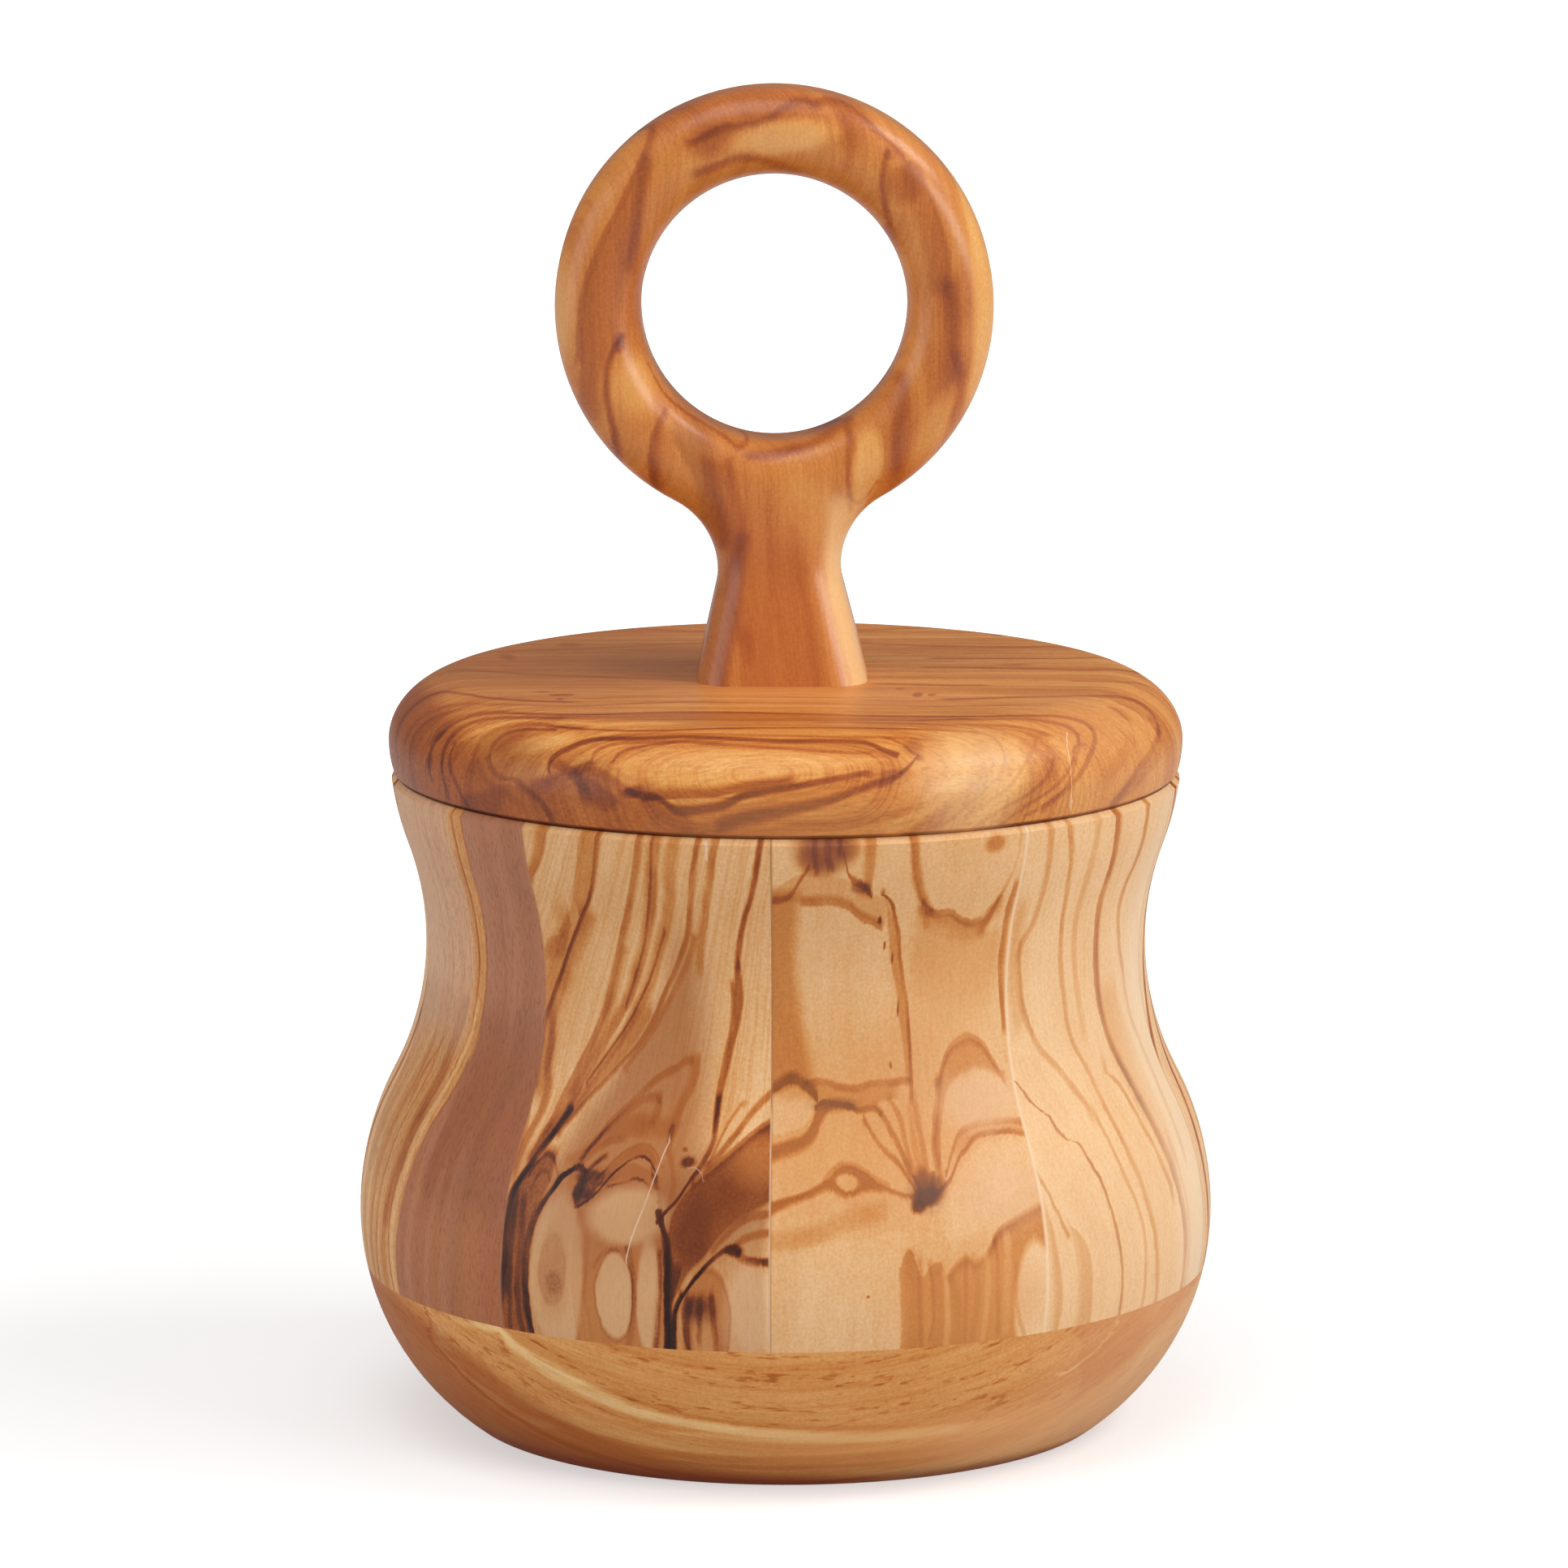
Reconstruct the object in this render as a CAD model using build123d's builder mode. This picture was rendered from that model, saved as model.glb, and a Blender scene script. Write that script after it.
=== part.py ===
from build123d import *
import os
from math import cos, radians, sin, tan

# Salt keeper of turned olive wood: a waisted pot glued up from upright staves on a solid
# base disc, under a thick lift-off lid that carries a tall ring handle.
# Millimetres, +Z up, the origin at the middle of the foot, the front towards -Y.

# ---------------------------------------------------------------- driving dimensions
# Pot, outside
pot_height = 77.8            # foot to rim
foot_radius = 38.2           # flat that the pot stands on
belly_radius = 51.0          # widest line of the pot
belly_height = 24.9
waist_radius = 42.9          # narrowest line of the pot
waist_height = 57.7
rim_easing = 0.7             # bevel on both edges of the rim

# Pot, inside: a straight bore from the rim down into the base disc
wall = 7.5                   # wood left at the waist, where the pot is thinnest
floor_thickness = 9.0

# How the pot is glued up
base_height = 18.8           # foot to the joint between the base disc and the staves
stave_count = 9
front_joint = -2.0           # degrees from the front to the nearest upright joint, + to the right
front_stave_angle = 38.4     # width of each of the two staves that meet at that joint

# Lid
lid_radius = 47.2            # widest line of the lid
lid_thickness = 11.6         # underside to top face
lid_widest_rise = 4.0        # underside to the widest line
lid_tuck = 0.7               # how far the edge draws in from the widest line to the underside
lid_crown_width = 9.5        # width of the crown between the widest line and the top face
lid_easing = 0.5             # bevel on the lid's lower edge
spigot_depth = 6.0           # the step under the lid that drops into the mouth
spigot_clearance = 0.4       # radial play in the mouth
spigot_easing = 0.8

# Ring handle
ring_thickness = 14.0        # ring and neck, front to back
handle_offset = -0.5         # foot of the handle from the lid's middle, along X
handle_lean = 1.1            # degrees out of upright, towards -X
ring_radius = 25.85          # outside of the ring
finger_hole_radius = 15.7
ring_rise = 44.1             # lid top to the ring's middle
stem_width = 20.2            # foot of the stem, across
stem_depth = 20.2            # foot of the stem, front to back
stem_taper = 13.2            # degrees that all four sides of the stem lean in
neck_fillet = 9.4            # hollow between the stem and the ring, seen from the front
flare_fillet = 24.0          # hollow between the stem's foot and its neck, seen from the side
handle_round = 4.6           # round-over along the front and back outlines

# Dowel that pegs the handle to the lid
dowel_radius = 4.0
dowel_in_lid = 10.0
dowel_in_handle = 12.0
glue_gap = 0.05              # radial room for glue round the dowel

# ---------------------------------------------------------------- worked out from them
lid_top = pot_height + lid_thickness
lid_widest_height = pot_height + lid_widest_rise
mouth_radius = waist_radius - wall
spigot_radius = mouth_radius - spigot_clearance
dowel_hole_radius = dowel_radius + glue_gap
side_stave_angle = (360 - 2 * front_stave_angle) / (stave_count - 2)

# The handle's front plane: its X runs across the ring, its Y up the leaning stem.
# The side plane shares that upward direction, with its X running from front to back.
across_ring = (cos(radians(handle_lean)), 0, sin(radians(handle_lean)))
handle_plane = Plane(origin=(handle_offset, 0, lid_top), x_dir=across_ring, z_dir=(0, -1, 0))
handle_side_plane = Plane(origin=handle_plane.origin, x_dir=(0, 1, 0), z_dir=across_ring)


def s_curve(low, high):
    """Two arcs, upright at their outer ends, that meet halfway between two profile points."""
    halfway = ((low[0] + high[0]) / 2, (low[1] + high[1]) / 2)
    TangentArc(low, halfway, tangent=(0, 1))
    TangentArc(high, halfway, tangent=(0, -1))


# ---------------------------------------------------------------- section of the pot
# Round from the foot to the belly, in to the waist, then out in a flare that would reach
# the lid's widest line if the rim did not cut it off.
foot = (foot_radius, 0)
belly = (belly_radius, belly_height)
waist = (waist_radius, waist_height)
flare_end = (lid_radius, lid_widest_height)
widest_radius = max(belly_radius, lid_radius)

with BuildSketch() as pot_section:
    with BuildLine():
        Line((0, 0), foot)
        TangentArc(belly, foot, tangent=(0, -1))
        s_curve(belly, waist)
        s_curve(waist, flare_end)
        Polyline(flare_end, (0, lid_widest_height), (0, 0))
    make_face()

# ---------------------------------------------------------------- base disc
with BuildPart() as base_disc:
    with BuildSketch(Plane.XZ):
        add(pot_section.sketch)
        Rectangle(widest_radius, base_height, align=Align.MIN, mode=Mode.INTERSECT)
    revolve(axis=Axis.Z)
    with Locations((0, 0, base_height)):
        Hole(mouth_radius, depth=base_height - floor_thickness)
base_disc.part.label = "base_disc"

# ---------------------------------------------------------------- staves
# Each stave is cut along the planes of its two upright joints, so that the ring closes
# face to face. The first stands just left of the front, and the rest follow to the right.
staves = []
joint_angle = front_joint - front_stave_angle - 90
for number in range(stave_count):
    stave_angle = front_stave_angle if number < 2 else side_stave_angle
    with BuildPart() as stave:
        with BuildSketch(Plane.XZ.rotated((0, 0, joint_angle))) as stave_section:
            add(pot_section.sketch)
            with Locations((mouth_radius, base_height)):
                Rectangle(
                    widest_radius - mouth_radius,
                    pot_height - base_height,
                    align=Align.MIN,
                    mode=Mode.INTERSECT,
                )
            chamfer(stave_section.vertices().group_by(Axis.Y)[-1], rim_easing)
        revolve(axis=Axis.Z, revolution_arc=stave_angle)
    stave.part.label = f"stave_{number + 1}"
    staves.append(stave)
    joint_angle += stave_angle

# ---------------------------------------------------------------- lid
crown_end = (lid_radius - lid_crown_width, lid_top)

with BuildPart() as lid:
    with BuildSketch(Plane.XZ) as lid_section:
        with BuildLine():
            Line((0, lid_top), crown_end)
            EllipticalCenterArc(
                (lid_radius - lid_crown_width, lid_widest_height),
                lid_crown_width,
                lid_top - lid_widest_height,
                start_angle=0,
                arc_size=90,
            )
            TangentArc(flare_end, (lid_radius - lid_tuck, pot_height), tangent=(0, -1))
            Polyline(
                (lid_radius - lid_tuck, pot_height),
                (spigot_radius, pot_height),
                (spigot_radius, pot_height - spigot_depth),
                (0, pot_height - spigot_depth),
                (0, lid_top),
            )
        make_face()
        rim_corners = lid_section.vertices().filter_by_position(Axis.Y, pot_height, pot_height)
        chamfer(rim_corners.sort_by(Axis.X)[-1], lid_easing)
        chamfer(lid_section.vertices().group_by(Axis.Y)[0].sort_by(Axis.X)[-1], spigot_easing)
    revolve(axis=Axis.Z)
    with Locations((handle_offset, 0, lid_top)):
        Hole(dowel_hole_radius, depth=dowel_in_lid)
lid.part.label = "lid"

# ---------------------------------------------------------------- ring handle
# One piece of wood: a ring run into a stem that flares on all four sides to its foot.
# It is the outline seen from the front, cut by the outline seen from the side, and then
# rounded over along the edges between the two. Both are drawn past the lid's top face,
# which trims the foot flat.
taper = tan(radians(stem_taper))
run_on = handle_round
stem_height = ring_rise - finger_hole_radius
flare_height = (stem_depth - ring_thickness) / 2 / taper
ring_top = ring_rise + ring_radius

with BuildPart() as ring_handle:
    with BuildSketch(handle_plane) as front_outline:
        with Locations((0, ring_rise)):
            Circle(ring_radius)
        with BuildLine():
            Polyline(
                (0, -run_on),
                (stem_width / 2 + run_on * taper, -run_on),
                (stem_width / 2 - stem_height * taper, stem_height),
                (0, stem_height),
            )
            mirror(about=Plane.YZ)
        make_face()
        fillet(front_outline.vertices().group_by(Axis.Y)[1], neck_fillet)
        with Locations((0, ring_rise)):
            Circle(finger_hole_radius, mode=Mode.SUBTRACT)
    extrude(amount=stem_depth, both=True)
    with BuildSketch(handle_side_plane) as side_outline:
        with BuildLine():
            Polyline(
                (0, -run_on),
                (stem_depth / 2 + run_on * taper, -run_on),
                (ring_thickness / 2, flare_height),
                (ring_thickness / 2, ring_top),
                (0, ring_top),
            )
            mirror(about=Plane.YZ)
        make_face()
        fillet(side_outline.vertices().group_by(Axis.Y)[1], flare_fillet)
    extrude(amount=ring_radius, both=True, mode=Mode.INTERSECT)
    outline_edges = (
        ring_handle.edges()
        .filter_by(Axis.Y, reverse=True)
        .filter_by(Axis(handle_plane.origin, across_ring), reverse=True)
    )
    fillet(outline_edges, handle_round)
    split(bisect_by=Plane.XY.offset(lid_top), keep=Keep.TOP)
    with Locations((handle_offset, 0, lid_top)):
        Cylinder(
            dowel_hole_radius,
            dowel_in_handle,
            align=(Align.CENTER, Align.CENTER, Align.MIN),
            mode=Mode.SUBTRACT,
        )
ring_handle.part.label = "ring_handle"

# ---------------------------------------------------------------- dowel
with BuildPart() as handle_dowel:
    with BuildSketch(Plane.XY.offset(lid_top - dowel_in_lid)):
        with Locations((handle_offset, 0)):
            Circle(dowel_radius)
    extrude(amount=dowel_in_lid + dowel_in_handle)
handle_dowel.part.label = "handle_dowel"

# ---------------------------------------------------------------- one STEP per piece
os.makedirs("parts", exist_ok=True)
for piece in (base_disc, *staves, lid, ring_handle, handle_dowel):
    export_step(piece.part, f"parts/{piece.part.label}.step")
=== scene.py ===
import math

import bpy
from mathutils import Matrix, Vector

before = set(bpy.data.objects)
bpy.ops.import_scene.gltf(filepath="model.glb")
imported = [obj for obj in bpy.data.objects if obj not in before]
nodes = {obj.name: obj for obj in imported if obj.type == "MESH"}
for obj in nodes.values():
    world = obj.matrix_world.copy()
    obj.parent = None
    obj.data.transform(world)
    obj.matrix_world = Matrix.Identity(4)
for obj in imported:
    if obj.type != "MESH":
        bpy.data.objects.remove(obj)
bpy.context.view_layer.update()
print("frame loaded")


# Shader maths: a socket that takes Python arithmetic, and one method that makes any other node.

class Sock:
    def __init__(self, tree, end):
        self.tree = tree
        self.end = end

    def make(self, kind, settings=None, inputs=None, output=0):
        node = self.tree.nodes.new("ShaderNode" + kind)
        for name, value in (settings or {}).items():
            if name == "stops":
                fillRamp(node.color_ramp, value)
            elif name == "curve":
                fillCurve(node.mapping, value)
            else:
                setattr(node, name, value)
        for name, value in (inputs or {}).items():
            if isinstance(value, Sock):
                self.tree.links.new(value.end, node.inputs[name])
            else:
                node.inputs[name].default_value = value
        return Sock(self.tree, node.outputs[output])

    def maths(self, operation, *values):
        return self.make("Math", {"operation": operation}, dict(enumerate(values)))

    def __add__(self, other):
        return self.maths("ADD", self, other)

    def __radd__(self, other):
        return self.maths("ADD", other, self)

    def __sub__(self, other):
        return self.maths("SUBTRACT", self, other)

    def __rsub__(self, other):
        return self.maths("SUBTRACT", other, self)

    def __mul__(self, other):
        return self.maths("MULTIPLY", self, other)

    def __rmul__(self, other):
        return self.maths("MULTIPLY", other, self)

    def __truediv__(self, other):
        return self.maths("DIVIDE", self, other)

    def __pow__(self, other):
        return self.maths("POWER", self, other)


def fillRamp(ramp, stops):
    ramp.elements[0].position, ramp.elements[0].color = stops[0][0], (*stops[0][1], 1)
    ramp.elements[1].position, ramp.elements[1].color = stops[-1][0], (*stops[-1][1], 1)
    for place, colour in stops[1:-1]:
        ramp.elements.new(place).color = (*colour, 1)


def fillCurve(mapping, points):      # a smooth curve through (in, out) points, level beyond its ends
    mapping.use_clip = False
    mapping.extend = "HORIZONTAL"
    line = mapping.curves[0]
    points = sorted(points)
    line.points[0].location, line.points[1].location = points[0], points[-1]
    for point in points[1:-1]:
        line.points.new(*point)
    mapping.update()


def colour(red, green, blue):        # a screen colour, 0 to 255, as the linear colour of a node
    parts = (red / 255, green / 255, blue / 255)
    return tuple(p / 12.92 if p <= 0.04045 else ((p + 0.055) / 1.055) ** 2.4 for p in parts)


def curve(at, points):
    return at.make("FloatCurve", {"curve": points}, {"Value": at})


# 0 at low, 1 at high, smooth between. It limits itself, and a clamp would cost the shader room.
def smooth(value, low, high):
    settings = {"interpolation_type": "SMOOTHSTEP", "clamp": False}
    return value.make("MapRange", settings, {0: value, 1: low, 2: high})


def both(a, b):                      # lays one tone over another, neither going past 1
    return a + b - a * b


def vector(x, y, z):
    return x.make("CombineXYZ", {}, {0: x, 1: y, 2: z})


def stretched(x, y, z, sizes, shift=None):           # a place for noise, each measure by its own size
    first = x * sizes[0]
    second = y * sizes[1]
    if shift is not None:
        second = second + shift
    return vector(first, second, z * sizes[2])


def noise(place, scale=1.0, detail=2.0, roughness=0.5):
    inputs = {"Vector": place, "Scale": scale, "Detail": detail, "Roughness": roughness}
    return place.make("TexNoise", {}, inputs)


def mixColours(amount, first, second):
    inputs = {0: amount}
    for name, value in ((6, first), (7, second)):
        inputs[name] = value if isinstance(value, Sock) else (*value, 1)
    return amount.make("Mix", {"data_type": "RGBA"}, inputs, 2)


millimetres = 1000                   # in a metre
objectPlace = 3                      # Texture Coordinate's output in the object's own measure


def newWood(name):                   # an empty material, and the place on the piece in mm
    made = bpy.data.materials.new(name)
    made.use_nodes = True
    made.node_tree.nodes.clear()
    place = Sock(made.node_tree, None).make("TexCoord", output=objectPlace)
    return made, [place.make("SeparateXYZ", {}, {0: place}, i) * millimetres for i in range(3)]


finish = {
    "ior": 1.45,
    "fibres": (0.3, 0.7),            # the fibre noise between which the oil goes from gloss to dull
    "bumpDepth": 0.0001,             # metres
}


def finishWood(made, base, fibres, look):
    shader = made.node_tree.nodes.new("ShaderNodeBsdfPrincipled")
    shader.inputs["IOR"].default_value = finish["ior"]
    shader.inputs["Specular IOR Level"].default_value = look["sheen"]
    shader.inputs["Coat Weight"].default_value = look["oil"]
    shader.inputs["Coat Roughness"].default_value = look["oilRoughness"]
    out = made.node_tree.nodes.new("ShaderNodeOutputMaterial")
    links = made.node_tree.links
    (low, high), (gloss, dull) = finish["fibres"], look["roughness"]
    rough = fibres.make("MapRange", {}, {0: fibres, 1: low, 2: high, 3: gloss, 4: dull})
    relief = {"Strength": look["bump"], "Distance": finish["bumpDepth"], "Height": fibres}
    bump = fibres.make("Bump", {}, relief)
    links.new(base.end, shader.inputs["Base Color"])
    links.new(rough.end, shader.inputs["Roughness"])
    links.new(bump.end, shader.inputs["Normal"])
    links.new(shader.outputs[0], out.inputs[0])
    return made


# The tones of the stave wood, from sapwood to the black of a knot, and the oils on the pieces.

oliveTones = [
    (0.00, colour(248, 210, 166)),
    (0.10, colour(237, 191, 140)),
    (0.20, colour(225, 167, 107)),
    (0.34, colour(209, 136, 69)),
    (0.50, colour(184, 103, 44)),
    (0.66, colour(144, 71, 29)),
    (0.82, colour(92, 44, 24)),
    (1.00, colour(38, 18, 15)),
]

satinOil = {"roughness": (0.42, 0.54), "bump": 0.045, "sheen": 0.3, "oil": 0.04, "oilRoughness": 0.3}
warmOil = {"roughness": (0.42, 0.54), "bump": 0.1, "sheen": 0.26, "oil": 0.04, "oilRoughness": 0.3}
lidOil = {"roughness": (0.42, 0.54), "bump": 0.08, "sheen": 0.3, "oil": 0.22, "oilRoughness": 0.28}
richOil = {"roughness": (0.40, 0.52), "bump": 0.08, "sheen": 0.36, "oil": 0.5, "oilRoughness": 0.26}


# What all the woods share. A piece's own dictionary may give other values.

sharedWood = {
    "strength": 1.0,                 # how dark the marks are
    "edge": (1.12, 0.25),            # where a vein's side ends, and where it is full
    "wanderU": (1.2, 0.3),           # how far marks stray to the side, in a slow sway and a fine fray
    "wanderV": (0.8, 0.45),          # the same along the piece
    "press": (1.5, 1.2, 0.4),        # how strongly a vein shows along its way: size, swing and least
    "ringMiddle": 0.4,               # where a broad ring is neither pale nor dark
    "fineRings": (4, 1.5, 1.5),      # how much closer the thin ring lines lie than the broad rings
    "ringLine": (0.52, 0.08),        # at which level they lie, and half their width
    "pores": (2.0, 0.70, 0.80),      # size, and between which levels they darken
    "streak": (1.2, 0.48, 0.68),     # the same for brown streaks
    "streakColour": colour(112, 58, 28),
    "cloud": 0.1,                    # share of the slow change from place to place
    "sand": (2600.0, 0.18),          # fineness and share of the sanded speckle
    "keepOff": (0.75, 0.45),         # tones at which a light tint ends, and up to which it is full
    "seamEdge": 0.4,                 # share of a joint's width that shows in full
    "seamFade": 2.0,
    "wait": 1e-6,                    # too little to move a mark
    "tints": [],
    "glue": [],
}


# A figure is drawn on a piece in two measures, u to the side and v up, as its builder gives them.
# Its marks darken or lighten one tone, which a ramp turns into colour.

class Figure:
    def __init__(self, u, v, unit, streaks, patches, look):
        self.look = look = dict(sharedWood, **look)
        self.unit = unit             # mm in one step of u
        self.plain = u               # before it strays
        self.streaks = streaks
        self.fibres = noise(streaks)
        self.drift = noise(patches)
        size, swing, least = look["press"]
        self.press = noise(patches, size, 1.0) * swing + least
        self.u = self.wander(u, look["wanderU"])
        self.v = self.wander(v, look["wanderV"])
        self.tone = None

    def wander(self, at, sizes):     # a slow sway and a fine fray, in the measure's own steps
        return at + (self.drift - 0.5) * sizes[0] + (self.fibres - 0.5) * sizes[1]

    def window(self, at, low, high, fade):
        return smooth(at, low - fade, low) * smooth(at, high + fade, high)

    def lay(self, across):           # which measure a line runs along, and which it lies beside
        return (self.u, self.v, 1.0) if across else (self.v, self.u, self.unit)

    def vein(self, tone, width, line, across=False, fade=1.2):
        along, beside, unit = self.lay(across)
        points = [(p[0], p[1]) if across else (p[1], p[0]) for p in line]
        off = (beside - curve(along, points)) * unit
        low, high = width if isinstance(width, tuple) else (width, width)
        if low == high:
            away = off.maths("ABSOLUTE", off) / low
        else:
            away = off.maths("MAXIMUM", off / high, off / -low)
        ends = [p[0] for p in points]
        mark = smooth(away, *self.look["edge"]) * self.window(along, min(ends), max(ends), fade)
        self.shade(mark * self.press, tone)

    def band(self, tone, edges, soft, across=False, fade=1.5):
        along, beside, unit = self.lay(across)
        marks, ends = [], []
        for line, turn, blur in zip(edges, (1, -1), soft):
            points = [(p[0], p[1]) if across else (p[1], p[0]) for p in line]
            ends.append([p[0] for p in points])
            marks.append(smooth((beside - curve(along, points)) * (unit * turn), 0.0, blur))
        low = max(min(ends[0]), min(ends[1]))
        high = min(max(ends[0]), max(ends[1]))
        self.shade(marks[0] * marks[1] * self.window(along, low, high, fade), tone)

    def oval(self, tone, centre, size, soft=0.3, rim=None, turn=0.0):
        du = (self.u - centre[0]) * self.unit
        dv = self.v - centre[1]
        tilt = math.radians(turn)
        if turn:
            du, dv = du * math.cos(tilt) + dv * math.sin(tilt), dv * math.cos(tilt) - du * math.sin(tilt)
        du, dv = du / size[0], dv / size[1]
        reach = (du * du + dv * dv) ** 0.5
        self.shade(smooth(reach, 1.0 + soft / 2, 1.0 - soft / 2), tone)
        if rim:
            edge = reach - 1.0
            self.shade(smooth(edge.maths("ABSOLUTE", edge), rim[1], rim[1] * 0.2), rim[0])

    def shade(self, mark, tone):     # a tone below 0 bleaches by that share
        if self.tone is None:
            self.tone = mark * tone
        elif tone < 0:
            self.tone = self.tone * (1 - mark * -tone)
        else:
            self.tone = both(self.tone, mark * (tone * self.look["strength"]))

    def grow(self, lane, second, third):             # growth rings, which lane counts
        look = self.look
        level, width = look["ringLine"]
        broad = noise(vector(lane, second, third), 1.0, 1.0)
        fine = noise(stretched(lane, second, third, look["fineRings"]))
        line = smooth(fine.maths("ABSOLUTE", fine - level), width, 0.0)
        tone = (broad - look["ringMiddle"]) * look["broad"] + line * look["fine"] + look["ground"]
        self.tone = tone.maths("MAXIMUM", tone, 0.0)
        # The marks wait for the rings, so that few values are held at once: a shader has room for 255.
        self.u, self.v = self.u + self.tone * look["wait"], self.v + self.tone * look["wait"]

    def draw(self, marks):
        for mark in marks:
            getattr(self, mark["kind"])(**{name: value for name, value in mark.items() if name != "kind"})

    def paint(self, made, tones, oil):
        look = self.look
        self.draw(look["marks"])
        size, *levels = look["pores"]
        dots = noise(self.streaks, size, 1.0)
        fineness, share = look["sand"]
        sand = noise(self.tone.make("TexCoord", output=objectPlace), fineness)
        self.tone = both(self.tone, smooth(dots, *levels) * look["flecks"])
        self.tone = self.tone + (self.fibres - 0.5) * look["fibre"]
        self.tone = self.tone + (self.drift - 0.5) * look["cloud"] + (sand - 0.5) * share
        base = self.tone.make("ValToRGB", {"stops": tones}, {0: self.tone})
        light = smooth(self.tone, *look["keepOff"])
        for part in look["tints"]:
            self.tone = None
            self.draw(part["marks"])
            mask = self.tone if part["over"] else self.tone * light
            base = mixColours(mask * part["amount"], base, part["colour"])
        size, *levels = look["streak"]
        streak = smooth(noise(self.streaks, size, 3.0, 0.6), *levels) * look["streaks"]
        base = mixColours(streak, base, look["streakColour"])
        for line in look["glue"]:
            off = (self.plain - line["at"]) * self.unit
            near = smooth(off.maths("ABSOLUTE", off), line["width"], line["width"] * look["seamEdge"])
            near = near * self.window(self.v, line["from"], line["to"], look["seamFade"])
            base = mixColours(near * line["amount"], base, line["colour"])
        return finishWood(made, base, self.fibres, oil)


# Staves: u is in degrees round the pot from its front, v in millimetres up it.

degreeLength = 0.82                  # one degree round the pot, in mm
staveGrain = {"fibreSizes": (3.4, 0.6, 0.8), "patchSizes": (0.25, 0.25, 0.12), "ringSizes": (0.02, 0.012)}


def staveWood(name, turn, look):
    made, (x, y, z) = newWood(name)
    facing = math.radians(turn)
    ahead = x * math.sin(facing) - y * math.cos(facing)
    aside = x * math.cos(facing) + y * math.sin(facing)
    degrees = aside.maths("ARCTAN2", aside, ahead) * math.degrees(1) + turn
    depth = (x * x + y * y) ** 0.5
    across = degrees * degreeLength
    streaks = stretched(across, depth, z, staveGrain["fibreSizes"], look["seed"])
    patches = stretched(across, depth, z, staveGrain["patchSizes"], look["seed"])
    figure = Figure(degrees, z, degreeLength, streaks, patches, look)
    left, right = (curve(figure.v, [(p[1], p[0]) for p in side]) for side in look["flow"])
    lane = (figure.u - left) / (right - left) * look["rings"]
    second, third = staveGrain["ringSizes"]
    figure.grow(lane, depth * second + look["seed"], z * third)
    return figure.paint(made, oliveTones, satinOil)


def vein(tone, width, line, across=False, fade=1.2):
    return {"kind": "vein", "tone": tone, "width": width, "line": line, "across": across, "fade": fade}


def band(tone, soft, first, second, across=False, fade=1.5):
    return {"kind": "band", "tone": tone, "soft": soft, "edges": (first, second), "across": across,
            "fade": fade}


def oval(tone, centre, size, soft=0.3, rim=None, turn=0.0):
    return {"kind": "oval", "tone": tone, "centre": centre, "size": size, "soft": soft, "rim": rim,
            "turn": turn}


def seam(at, width, shade, amount, low=10, high=90):             # the joint with the next stave
    return {"at": at, "width": width, "colour": shade, "amount": amount, "from": low, "to": high}


def tint(shade, amount, *marks, over=True):          # over: also where the figure is dark
    return {"colour": shade, "amount": amount, "marks": marks, "over": over}


# Front left stave: long veins that sweep down to a black-edged foot of heartwood, arches over
# pale eyes, and a reddish fan at the right.

greatVein = [(-27.4, 78), (-28.2, 73.8), (-29.8, 70.1), (-32.3, 67), (-34.2, 64.4), (-36.8, 60.5),
             (-39.1, 56.6), (-40, 54.6), (-40.5, 52), (-40.6, 47)]

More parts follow.
